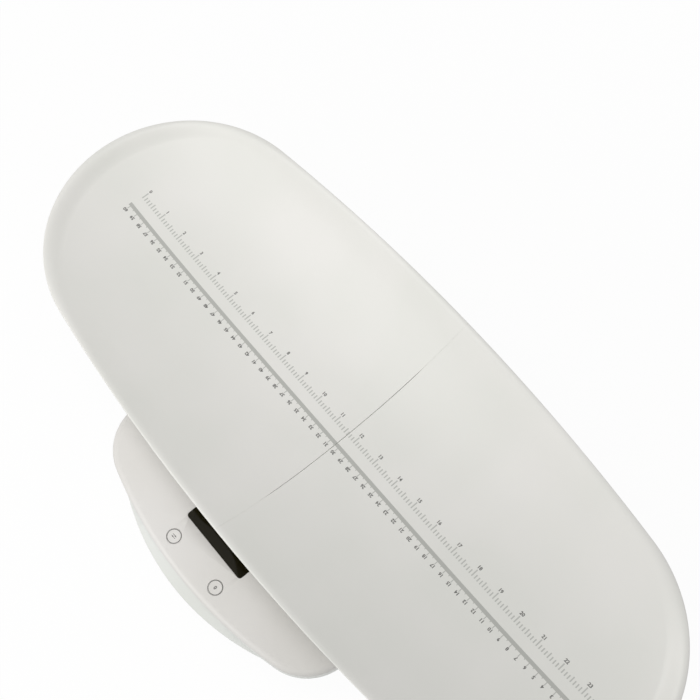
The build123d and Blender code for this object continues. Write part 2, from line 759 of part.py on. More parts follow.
def make_contacts():
    """A contact plate for each pair of cells at both ends, and the two solder tabs."""
    plates = []
    z = battery_places()[0][1]
    for x in pair(bay_length / 2 - contact_thickness / 2):
        for pair_middle in pair(battery_pitch):
            plate = block(x, bay_middle + pair_middle, contact_thickness, 2 * battery_pitch - contact_gap,
                          z - battery_radius + contact_margin, bay_ceiling)
            if pair_middle < 0:
                plate += block(x, bay_middle - tab_width, contact_thickness, tab_width, z, tab_top)
            plates.append(plate)
    return solids_of(plates)


def make_springs():
    """Conical wire springs between the contact plates and the batteries' flat ends."""
    springs = []
    height = bay_length - 2 * contact_thickness - battery_length - 2 * spring_wire
    taper = math.degrees(math.atan((spring_base - spring_tip) / height))
    for y, z, side in battery_places():
        start = side * (contact_thickness + spring_wire - bay_length / 2)
        coil = Helix(height / spring_turns, height, spring_base, center=(start, y, z),
                     direction=(side, 0, 0), cone_angle=-taper)
        section = Plane(origin=coil @ 0, z_dir=coil % 0) * Circle(spring_wire)
        springs.append(sweep(section, path=coil, is_frenet=True))
    return solids_of(springs)


def make_battery_cover():
    """Door with a round hinge edge, pins at its ends, a latch tongue and a finger recess at the front."""
    front = bay_middle - cover_width / 2
    top = floor_gap + battery_cover_thickness
    door = box(-cover_length / 2, cover_length / 2, front, hinge_y, floor_gap, top)
    door += bar(-cover_length / 2, cover_length / 2, hinge_y, hinge_z, hinge_radius)
    pin = cover_length / 2 + hinge_pin_length
    door += bar(-pin, pin, hinge_y, hinge_z, hinge_pin_radius)
    door += box(-latch_width / 2, latch_width / 2, front, front + latch_thickness, top, top + latch_height)
    return door - finger_recess()


# ---- Leads
def lead(points, radius):
    """A round lead along straight runs joined by the largest arcs that two neighbouring runs allow."""
    points = [Vector(*point) for point in points]
    runs = [after - before for before, after in zip(points, points[1:])]
    turns = [(min(one.length, other.length), math.radians(one.get_angle(other)))
             for one, other in zip(runs, runs[1:])]
    arcs = [lead_bend_share * shorter / math.tan(turn / 2) for shorter, turn in turns]
    path = FilletPolyline(*points, radius=arcs)
    return sweep(Plane(origin=points[0], z_dir=runs[0]) * Circle(radius), path=path)


def rise_to_socket(x, y, toward_x, toward_y, lay):
    """The last points of a lead: off the floor in a quarter bend and straight up into its socket."""
    rise = board_under - connector_height - lay
    return [(x - toward_x * short, y - toward_y * short, lay + share * rise)
            for short, share in socket_bends]


def sensor_route(name):
    """A sensor lead's points: out of the gauge's cap, over the wall, along the floor, up to its socket."""
    x, y = corners[name]
    side = math.copysign(1, x)
    lay = housing_floor + lead_radius + lead_lift
    over = pocket_top + pocket_ceiling + lead_radius + lead_over_wall
    leave = pocket_top + gauge_height / 2
    wall, cap = pocket_side / 2 + pocket_wall, gauge_length / 2
    level, climb = gauge_lead_run
    steps = ((cap, leave), (cap + level, leave), (cap + climb, over), (wall + lead_past_wall[0], over),
             (wall + lead_past_wall[1], lay))
    points = [(x - side * inward, y, z) for inward, z in steps]
    outer, inner = connector_pitch * (connector_count - 1) / 2, connector_pitch * (connector_count - 3) / 2
    if name.startswith("front"):
        across, along = side * outer - points[-1][0], connector_y - y
        run = math.hypot(across, along)
        return points + rise_to_socket(side * outer, connector_y, across / run, along / run, lay)
    points += [(side * bend_x, base_y + bend_y, lay) for bend_x, bend_y in rear_lead_bends]
    return points + rise_to_socket(side * inner, connector_y, 0, -1, lay)


def battery_route(side):
    """A battery lead's points: off its contact's tab, down beside the bay and along the floor."""
    lay = housing_floor + power_lead_radius + lead_lift
    start_x, start_y = bay_length / 2, bay_middle - tab_width
    points = [(side * start_x, start_y, tab_top - battery_lead_drop[0][2])]
    for out, back, drop in battery_lead_drop:
        points.append((side * (start_x + out), start_y + back, tab_top - drop))
    drop_x, drop_y, above = battery_lead_foot
    points.append((side * drop_x, base_y + drop_y, lay + above))
    points += [(side * bend_x, base_y + bend_y, lay) for bend_x, bend_y in battery_lead_bends]
    return points + rise_to_socket(side * power_lead_spacing / 2, connector_y, 0, -1, lay)


def make_leads():
    """A lead from each load cell, and the pair from the batteries."""
    leads = {f"sensor_lead_{name}": lead(sensor_route(name), lead_radius) for name in corners}
    leads["battery_leads"] = solids_of([lead(battery_route(side), power_lead_radius) for side in (-1, 1)])
    return leads


def make_all():
    """Every node by name."""
    nodes = make_tray_halves()
    nodes["tray_joint_screws"] = make_joint_screws()
    nodes["top_cover"] = make_top_cover()
    nodes["lower_housing"] = make_lower_housing()
    nodes["housing_screws"] = make_housing_screws()
    nodes["socket_pads"] = make_socket_pads()
    nodes.update(make_display())
    nodes.update(make_board())
    for name, x in (("unit", -key_x), ("tare", key_x)):
        nodes[f"{name}_key"], nodes[f"{name}_switch_plunger"], nodes[f"{name}_switch"] = make_key(x)
    for corner, (x, y) in corners.items():
        for piece, shape in make_corner(x, y).items():
            nodes[f"{piece}_{corner}"] = shape
    nodes["retainer_screws"] = make_retainer_screws()
    nodes.update(make_batteries())
    nodes["battery_contacts"] = make_contacts()
    nodes["battery_springs"] = make_springs()
    nodes["battery_cover"] = make_battery_cover()
    nodes.update(make_leads())
    return nodes


os.makedirs("parts", exist_ok=True)
for node, shape in make_all().items():
    export_step(shape, f"parts/{node}.step")
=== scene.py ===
# %% [markdown]
# # A baby scale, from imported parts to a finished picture
#
# The scale is a long oval dish in two halves that lies on a low platform with a black display window
# and round keys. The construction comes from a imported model: every piece at its real size, in one
# frame. What is added here is what the eye sees: smooth moulded surfaces, the printed ruler, the
# finishes and the light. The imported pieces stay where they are, and new pieces are made in place.

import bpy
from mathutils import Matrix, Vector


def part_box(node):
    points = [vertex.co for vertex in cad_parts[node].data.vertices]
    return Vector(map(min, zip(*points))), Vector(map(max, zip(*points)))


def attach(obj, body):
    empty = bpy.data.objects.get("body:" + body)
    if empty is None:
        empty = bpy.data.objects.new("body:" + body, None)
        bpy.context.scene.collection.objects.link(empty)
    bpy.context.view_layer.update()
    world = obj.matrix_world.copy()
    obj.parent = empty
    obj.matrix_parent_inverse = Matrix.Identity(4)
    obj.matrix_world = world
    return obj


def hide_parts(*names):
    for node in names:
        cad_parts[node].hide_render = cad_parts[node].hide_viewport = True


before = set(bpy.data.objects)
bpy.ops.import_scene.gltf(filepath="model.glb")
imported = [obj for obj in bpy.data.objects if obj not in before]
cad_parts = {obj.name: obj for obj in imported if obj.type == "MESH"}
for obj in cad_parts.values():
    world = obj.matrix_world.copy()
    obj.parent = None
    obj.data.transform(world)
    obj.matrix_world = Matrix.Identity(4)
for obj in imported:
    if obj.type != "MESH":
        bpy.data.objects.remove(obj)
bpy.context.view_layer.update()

# %% Libraries and the unit
import math

import bmesh
import bpy
import numpy as np
from mathutils import Matrix, Vector

MM = 0.001    # sizes in this script are millimetres, and Blender's are metres


def box_of(node):
    """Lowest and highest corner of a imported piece, in millimetres."""
    low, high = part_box(node)
    return np.array(low) / MM, np.array(high) / MM


cover_low, cover_high = box_of("top_cover")
print("Blender", bpy.app.version_string, "- base's top at", cover_high[2].round(1), "mm")

# %% [markdown]
# ## Camera
#
# A product shot of a shallow dish is taken from high above and a little to the front, so that the
# inside of the dish shows and the ruler can be read. A lens of about 55 mm keeps the far end from
# shrinking. The camera is set by what a photographer would set: where it stands, what it points at,
# and how far it is rolled. Building the rotation from those three is easier to read than Euler angles.

# %% Camera
CAMERA_PLACE = Vector((191.7, -158.8, 951.7))
CAMERA_TARGET = Vector((-59.3, 83.4, 46.0))
CAMERA_ROLL = 3.613           # degrees, anticlockwise seen from behind the camera
CAMERA_LENS = 54.93
SENSOR_WIDTH = 36.0
FAR_LIMIT = 20000.0           # nothing further from the camera than this is drawn


def place_camera():
    """Puts the camera at its place. Its axis runs to the target, and it is then rolled about that axis."""
    camera = bpy.data.objects.new("camera", bpy.data.cameras.new("camera"))
    bpy.context.scene.collection.objects.link(camera)
    camera.data.lens = CAMERA_LENS
    camera.data.sensor_width = SENSOR_WIDTH
    camera.data.clip_end = FAR_LIMIT * MM
    aim = (CAMERA_TARGET - CAMERA_PLACE).to_track_quat("-Z", "Y").to_matrix()
    roll = Matrix.Rotation(math.radians(CAMERA_ROLL), 3, "Z")
    camera.matrix_world = Matrix.Translation(CAMERA_PLACE * MM) @ (aim @ roll).to_4x4()
    bpy.context.scene.camera = camera


place_camera()
print("camera is", round((CAMERA_TARGET - CAMERA_PLACE).length), "mm from the dish")

# %% [markdown]
# ## Helpers for surfaces
#
# Every new surface is a grid of points: rows along one direction, columns along the other. The points
# are worked out for the whole grid at once, and one function turns a grid into quads. A grid that
# closes on itself, such as a ring, has no last edge, and a pole is a row whose points coincide. When the
# points go into a mesh, doubles are merged, which closes seams and poles, and the normals are then
# turned outwards. Edges sharper than a given angle are kept crisp, and the rest is shaded smooth.

# %% Grids and lofts
def grid_faces(rows, columns, ring=False, tube=False):
    """Quads of a grid stored row by row. ring joins the last column to the first, tube the last row."""
    r = np.arange(rows if tube else rows - 1)
    c = np.arange(columns if ring else columns - 1)
    r, c = np.meshgrid(r, c, indexing="ij")
    next_r, next_c = (r + 1) % rows, (c + 1) % columns
    quad = [r * columns + c, r * columns + next_c, next_r * columns + next_c, next_r * columns + c]
    return np.stack(quad, axis=-1).reshape(-1, 4)


def loft(loops):
    """A closed body through loops of points: each loop is a ring, and both ends shrink to their middle."""
    loops = np.asarray(loops, float)
    ends = [np.repeat(loop.mean(axis=0, keepdims=True), loops.shape[1], axis=0) for loop in loops[[0, -1]]]
    loops = np.concatenate([ends[:1], loops, ends[1:]])
    rows, columns = loops.shape[:2]
    return loops.reshape(-1, 3), grid_faces(rows, columns, ring=True)


def many_lofts(bodies):
    """Several lofts at once, from an array of body, loop, point and coordinate."""
    bodies = np.asarray(bodies, float)
    ends = bodies.mean(axis=2, keepdims=True)[:, [0, -1]].repeat(bodies.shape[2], axis=2)
    bodies = np.concatenate([ends[:, :1], bodies, ends[:, 1:]], axis=1)
    count, rows, columns = bodies.shape[:3]
    faces = grid_faces(rows, columns, ring=True)
    step = np.arange(count)[:, None, None] * rows * columns
    return bodies.reshape(-1, 3), (faces + step).reshape(-1, 4)


# %% Rings, plates and turned shapes
# Rotations that bring a body built along +z to another direction.
AXES = {
    "+z": np.array([[1, 0, 0], [0, 1, 0], [0, 0, 1]]),
    "-z": np.array([[1, 0, 0], [0, -1, 0], [0, 0, -1]]),
    "+x": np.array([[0, 0, 1], [0, 1, 0], [-1, 0, 0]]),
    "-x": np.array([[0, 0, -1], [0, 1, 0], [1, 0, 0]]),
}


def turned(profile, centre, axis="+z", segments=64):
    """A turned body. Each (radius, height) of the profile becomes a circle round the axis."""
    radius, height = np.array(profile, float).T
    turn = np.linspace(0, 2 * np.pi, segments, endpoint=False)
    x, y = radius[:, None] * np.cos(turn), radius[:, None] * np.sin(turn)
    points = np.stack([x, y, np.repeat(height[:, None], segments, axis=1)], axis=-1)
    points = points @ AXES[axis].T + np.array(centre)
    return points.reshape(-1, 3), grid_faces(len(radius), segments, ring=True)


def rounded_loop(length, width, corner, steps=8):
    """A rectangle with round corners: four quarter circles whose centres are the corner's radius inside."""
    turn = np.linspace(0, np.pi / 2, steps)
    turn = np.concatenate([turn + k * np.pi / 2 for k in range(4)])
    sign_x = np.repeat([1, -1, -1, 1], steps)
    sign_y = np.repeat([1, 1, -1, -1], steps)
    x = sign_x * (length / 2 - corner) + corner * np.cos(turn)
    y = sign_y * (width / 2 - corner) + corner * np.sin(turn)
    return np.stack([x, y], axis=-1)


def round_edge(radius, steps=5):
    """A quarter circle from a flat top to an upright side, as pairs: how far in, and how far down."""
    turn = np.linspace(0, np.pi / 2, steps)
    return np.stack([radius * (1 - np.sin(turn)), radius * (1 - np.cos(turn))], axis=-1)


def rounded_plate(centre, length, width, corner, bottom, top, edge):
    """A plate with round corners and a rounded upper edge: rings that go down over the edge."""
    rings = [(inset, top - drop) for inset, drop in round_edge(edge)] + [(0.0, bottom)]
    loops = []
    for inset, z in rings:
        loop = rounded_loop(length - 2 * inset, width - 2 * inset, corner - inset)
        loops.append(np.column_stack([loop + np.array(centre), np.full(len(loop), z)]))
    return loft(loops)


# %% From points to a piece
MERGE = 0.0015                # points closer than this become one


def add_mesh(name, shapes, sharp=35.0):
    """A mesh object from several (points, faces) shapes, with doubles merged and normals outwards."""
    points, faces, start = [], [], 0
    for shape_points, shape_faces in shapes:
        points.append(shape_points)
        faces += (np.asarray(shape_faces) + start).tolist()
        start += len(shape_points)
    mesh = bpy.data.meshes.new(name)
    mesh.from_pydata((np.concatenate(points) * MM).tolist(), [], faces)
    return settle(bpy.data.objects.new(name, mesh), sharp)


def settle(piece, sharp):
    """Merges a piece's doubles, turns its normals outwards and smooths what is blunter than an angle."""
    work = bmesh.new()
    work.from_mesh(piece.data)
    bmesh.ops.remove_doubles(work, verts=work.verts, dist=MERGE * MM)
    bmesh.ops.dissolve_degenerate(work, edges=work.edges, dist=MERGE * MM / 10)
    bmesh.ops.recalc_face_normals(work, faces=work.faces)
    work.to_mesh(piece.data)
    work.free()
    piece.data.shade_smooth()
    piece.data.set_sharp_from_angle(angle=math.radians(sharp))
    bpy.context.scene.collection.objects.link(piece)
    return piece


def finish_piece(piece, material, body, stands_for=()):
    """Gives a piece its material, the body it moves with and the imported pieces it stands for."""
    piece.data.materials.append(material)
    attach(piece, body)
    if stands_for:
        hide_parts(*stands_for)


# %% [markdown]
# ## Finishes
#
# A baby scale is mostly ABS: a hard, slightly glossy plastic, moulded in a steel tool whose surface was
# sparked or sandblasted, so the part comes out with a fine satin grain. ABS has an IOR of about 1.54 and
# is a dielectric, so metallic is 0. Two more things make plastic look real: the grain breaks up the
# highlight a little, and the colour isn't perfectly even, because pigment and wall thickness vary.
# Colours are given as sRGB hex, as a colour card gives them, and turned to the linear values that
# Blender mixes light in. Patterns are sized in millimetres on the object's own coordinates.

# %% Colours and nodes
def colour(code):
    """Linear RGBA of an sRGB hex colour: dark values are divided by 12.92, the rest follow a 2.4 power."""
    parts = [int(code[i:i + 2], 16) / 255 for i in (1, 3, 5)]
    return [p / 12.92 if p <= 0.04045 else ((p + 0.055) / 1.055) ** 2.4 for p in parts] + [1.0]


print("a mid grey of #808080 is", round(colour("#808080")[0], 3), "in linear light")


def per_metre(size):
    """Texture scale at which one cell of a pattern is about this many millimetres."""
    return 1 / (size * MM)


def add_node(tree, kind, inputs=None, **settings):
    """Adds a node, sets its properties, and gives inputs, by name or number, a value or a link."""
    node = tree.nodes.new(kind)
    for name, value in settings.items():
        setattr(node, name, value)
    for name, value in (inputs or {}).items():
        if isinstance(value, bpy.types.NodeSocket):
            tree.links.new(value, node.inputs[name])
        else:
            node.inputs[name].default_value = value
    return node


def start_material(name, **sockets):
    """An empty material with a shader whose sockets are set by name, and its node tree."""
    material = bpy.data.materials.new(name)
    material.use_nodes = True
    tree = material.node_tree
    tree.nodes.clear()
    values = {key.replace("_", " "): value for key, value in sockets.items()}
    shader = add_node(tree, "ShaderNodeBsdfPrincipled", values)
    add_node(tree, "ShaderNodeOutputMaterial", {"Surface": shader.outputs[0]})
    return material, tree, shader


def noise(tree, size, detail=2.0, stretch=None):
    """Noise whose features are about this many millimetres, stretched along the axes if asked."""
    place = add_node(tree, "ShaderNodeTexCoord").outputs["Object"]
    if stretch:
        place = add_node(tree, "ShaderNodeMapping", {"Vector": place, "Scale": stretch}).outputs[0]
    return add_node(tree, "ShaderNodeTexNoise", {"Vector": place, "Scale": per_metre(size),
                                                 "Detail": detail}).outputs[0]


def blend_colours(tree, shader, factor, first, second):
    """Mixes two hex colours by a factor into the shader's base colour."""
    mix = add_node(tree, "ShaderNodeMix", {0: factor, 6: colour(first), 7: colour(second)},
                   data_type="RGBA")
    tree.links.new(mix.outputs[2], shader.inputs["Base Color"])


def span(tree, factor, low, high, to_low=0.0, to_high=1.0):
    """Stretches a factor: low and high become to_low and to_high, and what lies outside is held there."""
    values = {0: factor, 1: low, 2: high, 3: to_low, 4: to_high}
    return add_node(tree, "ShaderNodeMapRange", values).outputs[0]


def vary_roughness(tree, shader, factor, low, high, smooth, rough):
    """Moves the roughness from smooth to rough while a factor goes from low to high."""
    tree.links.new(span(tree, factor, low, high, smooth, rough), shader.inputs["Roughness"])


def add_bump(tree, shader, height, depth):
    """Raises the surface by up to a depth in millimetres where a height pattern is 1."""
    bump = add_node(tree, "ShaderNodeBump", {"Height": height, "Distance": depth * MM})
    tree.links.new(bump.outputs[0], shader.inputs["Normal"])


# %% [markdown]
# Noise values crowd round 0.5 and seldom leave 0.3 to 0.7. Each finish therefore stretches a middle part
# of them to the whole range from 0 to 1. The narrower that part is, the harder the pattern's contrast.

# %% Moulded plastic
DRIFT_SIZE = 85.0             # distance over which a moulding's tone drifts
SMOOTHER, ROUGHER = 0.04, 0.05        # how far the grain moves the roughness either way


def moulded_abs(name, light, deep, roughness, grain, depth):
    """Satin ABS: colour drifts between two near tones, and a tool grain of a given size lies on it."""
    material, tree, shader = start_material(name, IOR=1.54)
    drift = span(tree, noise(tree, DRIFT_SIZE, 1.0), 0.35, 0.65)
    blend_colours(tree, shader, drift, light, deep)
    grained = noise(tree, grain, 3.0)
    vary_roughness(tree, shader, grained, 0.3, 0.7, roughness - SMOOTHER, roughness + ROUGHER)
    add_bump(tree, shader, grained, depth)
    return material


# The tray is polished a little finer than the base, so that it wipes clean. The grain is drawn about a
# millimetre coarse, where a real tool's is a tenth of that, so that it still shows.
tray_abs = moulded_abs("satin_abs_tray", "#E5E4E0", "#E1E1DC", 0.36, 0.8, 0.010)
cover_abs = moulded_abs("satin_abs_cover", "#DEDCD9", "#DBD9D5", 0.42, 0.8, 0.014)
# The housing is painted lighter than the cover. This is painted light: it stands for the extra light that
# the front skirt catches.
housing_abs = moulded_abs("matt_abs_housing", "#E5E7E3", "#E1E3DE", 0.5, 1.1, 0.022)
foot_abs = moulded_abs("matt_abs_feet", "#DDDCD8", "#D6D5D1", 0.55, 1.1, 0.02)
nylon = moulded_abs("natural_nylon", "#E8E3D3", "#DED8C6", 0.45, 0.6, 0.01)
print("plastics:", tray_abs.name, cover_abs.name, housing_abs.name, foot_abs.name, nylon.name)

# %% [markdown]
# ## Inks
#
# The ruler and the key legends are pad printed: a silicone pad lays down a film of ink about a
# hundredth of a millimetre thick. Ink is a little glossier than the satin plastic, and its density
# varies over a few tenths of a millimetre, so thin strokes look slightly broken.

# %% Pad-printed ink
INK_PATCH = 0.5               # distance over which the ink's density varies


def pad_ink(name, dense, thin):
    """Printing ink whose density varies between two tones."""
    material, tree, shader = start_material(name, IOR=1.5, Roughness=0.34)
    density = span(tree, noise(tree, INK_PATCH), 0.35, 0.7)
    blend_colours(tree, shader, density, dense, thin)
    return material


bar_ink = pad_ink("ink_ruler_bar", "#B0B1AC", "#B7B8B3")
tick_ink = pad_ink("ink_ruler_ticks", "#B8B9B4", "#C1C2BD")
digit_ink = pad_ink("ink_digits", "#5E5E5B", "#6C6C69")
# This ink prints the key symbols. It also paints the dark ring of shade that stands for the gap round each
# key.
key_ink_and_gap_shade = pad_ink("ink_key_ring", "#4C4C4A", "#5A5A58")
print("inks:", bar_ink.name, tick_ink.name, digit_ink.name, key_ink_and_gap_shade.name)

# %% [markdown]
# ## Window, rubber, metals and the electronics
#
# The display window is cast acrylic, printed black on its back: a flat, glossy face whose blackness
# comes from behind the surface. Rubber and elastomer are dull, with a soft, broad highlight. Screws are
# zinc plated, the load cells are stamped spring steel, and the contacts are nickel. Metals take their
# colour from their reflection, so metallic is 1 and the IOR keeps its default.

# %% Window, rubber and sealant
WIPE_SIZE = 6.0               # width of the wipe marks on the window
WIPE_STRETCH = (0.15, 1.0, 1.0)       # less than 1 draws a pattern out along that axis


def window_acrylic():
    """Gloss acrylic over black print. Faint wipe marks, drawn out along X, lift the roughness a little."""
    material, tree, shader = start_material("gloss_acrylic_window", IOR=1.49, Specular_IOR_Level=0.05)
    wipes = span(tree, noise(tree, WIPE_SIZE, 3.0, WIPE_STRETCH), 0.4, 0.75)
    blend_colours(tree, shader, wipes, "#171406", "#1A1708")
    vary_roughness(tree, shader, wipes, 0.0, 1.0, smooth=0.06, rough=0.14)
    return material


def elastomer(name, light, deep, roughness, grain, depth):
    """Rubber or foam: dull and even, with a pebbled skin of a given grain."""
    material, tree, shader = start_material(name, IOR=1.5, Roughness=roughness, Sheen_Weight=0.08)
    pebbles = noise(tree, grain, 4.0)
    blend_colours(tree, shader, span(tree, pebbles, 0.35, 0.65), light, deep)
    add_bump(tree, shader, pebbles, depth)
    return material


window = window_acrylic()
foot_rubber = elastomer("moulded_rubber", "#6E6F6E", "#5F6060", 0.7, 0.7, 0.03)
pad_foam = elastomer("closed_cell_foam", "#55565A", "#3F4043", 0.85, 0.5, 0.06)
gauge_sealant = elastomer("silicone_sealant", "#ECEBE6", "#DAD9D2", 0.35, 1.5, 0.05)
lead_sleeve = elastomer("pvc_sleeve", "#BDBEBD", "#B0B1B0", 0.45, 0.8, 0.01)
print("soft finishes:", foot_rubber.name, pad_foam.name, gauge_sealant.name, lead_sleeve.name)

# %% Metals
POLISH, WEAR = 0.06, 0.08             # how far the grain moves the roughness either way
ROLLED = (0.06, 1.0, 1.0)             # draws the grain of rolled steel out along X


def plain_metal(name, light, deep, roughness, grain, stretch=None):
    """Plated or bare metal: a grain, drawn out if it was rolled, shifts its tone and its roughness."""
    material, tree, shader = start_material(name, Metallic=1.0)
    grained = noise(tree, grain, 4.0, stretch)
    blend_colours(tree, shader, span(tree, grained, 0.3, 0.7), light, deep)
    vary_roughness(tree, shader, grained, 0.3, 0.7, roughness - POLISH, roughness + WEAR)
    return material


screw_zinc = plain_metal("zinc_plated_steel", "#C9CCD0", "#AEB2B8", 0.3, 0.9)
cell_steel = plain_metal("stamped_spring_steel", "#B9BABB", "#9FA1A3", 0.34, 0.4, ROLLED)
contact_nickel = plain_metal("nickel_plate", "#D2CEC5", "#BDB8AD", 0.22, 0.7)
print("metals:", screw_zinc.name, cell_steel.name, contact_nickel.name)

# %% [markdown]
# A circuit board shows its copper through the green mask as slightly lighter tracks. They run along the
# board's edges, so waves across X and across Y, cut to thin lines, give them a believable layout.
# The contact strip between glass and board is a stack of black and pale layers, drawn a millimetre thick
# each. Light guides and display glass are clear plastics and glass seen edge on.

# %% Electronics
BAND_REPEAT = math.pi / 10    # distance at which a wave texture's bands repeat when its scale is 1
TRACK_PITCH = 5.0
TRACK_CREST = (0.86, 0.92)    # what rises above this part of a wave is a track
TRACK_AREA = 14.0             # size of the areas in which tracks run the same way
TRACK_HEIGHT = 0.03
LAYER_PITCH = 2.0             # one black and one pale layer
CLOUD_SIZE = 5.0              # of the faint cloudiness in clear parts


def solder_mask():
    """Green mask with tracks: thin lines on the crests of a wave across X and of one across Y, and
    coarse noise that chooses between the two directions."""
    material, tree, shader = start_material("solder_mask_board", IOR=1.55, Roughness=0.3)
    place = add_node(tree, "ShaderNodeTexCoord").outputs["Object"]
    lines = []
    for direction in ("X", "Y"):
        scale = per_metre(TRACK_PITCH) * BAND_REPEAT
        wave = add_node(tree, "ShaderNodeTexWave", {"Vector": place, "Scale": scale},
                        bands_direction=direction)
        lines.append(span(tree, wave.outputs["Fac"], *TRACK_CREST))
    area = span(tree, noise(tree, TRACK_AREA, 0.0), 0.49, 0.51)
    track = add_node(tree, "ShaderNodeMix", {0: area, 2: lines[0], 3: lines[1]}).outputs[0]
    blend_colours(tree, shader, track, "#1E5A38", "#3B7F4F")
    add_bump(tree, shader, track, TRACK_HEIGHT)
    return material


def layered_strip():
    """Elastomer strip of black and pale layers: hard bands across X, half of each pitch black."""
    material, tree, shader = start_material("layered_elastomer", IOR=1.45, Roughness=0.55)
    place = add_node(tree, "ShaderNodeTexCoord").outputs["Object"]
    scale = per_metre(LAYER_PITCH) * BAND_REPEAT
    wave = add_node(tree, "ShaderNodeTexWave", {"Vector": place, "Scale": scale})
    blend_colours(tree, shader, span(tree, wave.outputs["Fac"], 0.45, 0.55), "#1C1B1D", "#C9A9A6")
    return material


def clear_part(name, light, deep, roughness, ior, transmission):
    """Glass or clear plastic, very slightly cloudy."""
    material, tree, shader = start_material(name, IOR=ior, Roughness=roughness,
                                            Transmission_Weight=transmission)
    blend_colours(tree, shader, span(tree, noise(tree, CLOUD_SIZE), 0.4, 0.6), light, deep)
    return material


board_mask = solder_mask()
contact_strip = layered_strip()
display_glass = clear_part("display_glass", "#93A08C", "#87947F", 0.08, 1.52, 0.25)
light_guide = clear_part("acrylic_light_guide", "#F1F3F1", "#E4E8E6", 0.3, 1.49, 0.4)
chip_epoxy = elastomer("moulded_epoxy", "#26272A", "#1D1E20", 0.5, 0.6, 0.01)
jacket = elastomer("printed_jacket_dark", "#2C3338", "#262C31", 0.3, 4.0, 0.002)
jacket_band = elastomer("printed_jacket_band", "#B98A4A", "#AD7F41", 0.3, 4.0, 0.002)
print("finishes:", len(bpy.data.materials))

# %% [markdown]
# ## The dish
#
# The dish is a shallow saddle-free bowl: level in the middle, rising gently towards both ends and more
# steeply towards the long sides. Its height can be written as one curve along the length plus one
# across, each a sum of even powers of the distance from the middle, which makes it smooth everywhere.
# At the ends a steeper wall closes it. Where wall and bowl meet, a real tool has a fillet, so the two
# heights are joined by a soft maximum instead of a hard one. The wall runs into the flat rim by a soft
# minimum: a narrow shoulder along the sides, and a wide one at the ends.

# %% Sizes of the dish
right_low, right_high = box_of("tray_right_half")
half_length = right_high[0]
half_width = (right_high[1] - right_low[1]) / 2
tray_y = (right_high[1] + right_low[1]) / 2
rim_z = right_high[2]
leg_bottom = right_low[2]

END_RADIUS = 127.0            # each end of the outline is part of a circle
DISH_DEPTH = 41.0             # rim above the lowest point inside
DISH_WALL = 3.0
RIM_WIDTH = 2.6
RIM_HEIGHT = 3.6
RIM_UNDER_FILLET = 1.0        # between the wall's outside and the underside of the rim
WALL_SLOPE = math.tan(math.radians(42.0))
LENGTHWISE_RISE = ((200.0, 5.3), (330.0, 30.5))                # distance from the middle, rise
CROSSWISE_RISE = ((60.0, 6.1), (100.0, 19.3), (139.6, 40.6))
VALLEY_BLEND = 8.0            # size of the fillet between bowl and end wall
SIDE_SHOULDER = 2.4           # and between wall and rim, along the sides
END_SHOULDER = 9.0            # and at the ends, where the wall bends over in a wide shoulder
SIDE_WALL_INSET = -1.3        # how much further in than the rim's width the wall starts, along the sides
END_WALL_INSET = 5.5          # and at the very end
END_STEEPNESS = 1.9           # wall's slope there, as a multiple of the slope along the sides

TINY = 1e-9                   # room for rounding in comparisons

dish_z = rim_z - DISH_DEPTH
end_centre = half_length - END_RADIUS
side_radius = ((end_centre ** 2 + half_width ** 2 - END_RADIUS ** 2)
               / (2 * (half_width - END_RADIUS)))
side_centre = side_radius - half_width
join_angle = math.atan2(side_centre, end_centre)       # direction in which end and side arcs meet

# Distance from the outline at which the outside of the wall meets the underside of the rim.
wall_inset = RIM_WIDTH + RIM_HEIGHT / WALL_SLOPE - DISH_WALL / math.sin(math.atan(WALL_SLOPE))
print(f"dish {2 * half_length:.0f} x {2 * half_width:.0f} mm, sides bowed at {side_radius:.0f} mm")


# %% Height of the dish at any point
def even_curve(stations):
    """Coefficients of d^2, d^4 ... of a curve that is level at 0 and passes through the stations."""
    reach, rise = np.array(stations).T
    powers = 2 * np.arange(1, len(reach) + 1)
    return np.linalg.solve(reach[:, None] ** powers, rise)


along, across = even_curve(LENGTHWISE_RISE), even_curve(CROSSWISE_RISE)


def even_height(coefficients, d):
    """Height and slope of an even curve: the sum of c d^2k, and of 2k c d^(2k-1)."""
    powers = 2 * np.arange(1, len(coefficients) + 1)
    d = np.asarray(d, float)[..., None]
    return (coefficients * d ** powers).sum(-1), (powers * coefficients * d ** (powers - 1)).sum(-1)


def bowl(x, y, below=0.0):
    """Height of the bowl, y from the dish's middle line, or of the surface a wall's thickness below it:
    the drop is the thickness times the square root of 1 plus both slopes squared."""
    rise_x, slope_x = even_height(along, x)
    rise_y, slope_y = even_height(across, y)
    return dish_z + rise_x + rise_y - below * np.sqrt(1 + slope_x ** 2 + slope_y ** 2)


def soft_max(a, b, blend):
    """The larger of two heights plus a quarter of the blend times nearness squared, where nearness
    falls from 1 where they are equal to 0 where they differ by the blend."""
    near = np.clip(1 - np.abs(a - b) / blend, 0, None)
    return np.maximum(a, b) + near ** 2 * blend / 4


def soft_min(a, b, blend):
    """The smaller of two heights with its corner rounded, as a soft maximum turned upside down."""
    return -soft_max(-a, -b, blend)


print(f"bowl: {bowl(0.0, 0.0):.1f} mm high in the middle, {bowl(half_length, 0.0):.1f} mm at the ends")


def end_share(x, y):
    """1 on the axis of an end, falling to 0 where the end meets the side: the squared cosine of the
    direction from the end circle's centre."""
    ahead = np.clip(np.abs(x) - end_centre, 0, None)
    never_zero = 1e-6
    return ahead ** 2 / (ahead ** 2 + y ** 2 + never_zero)


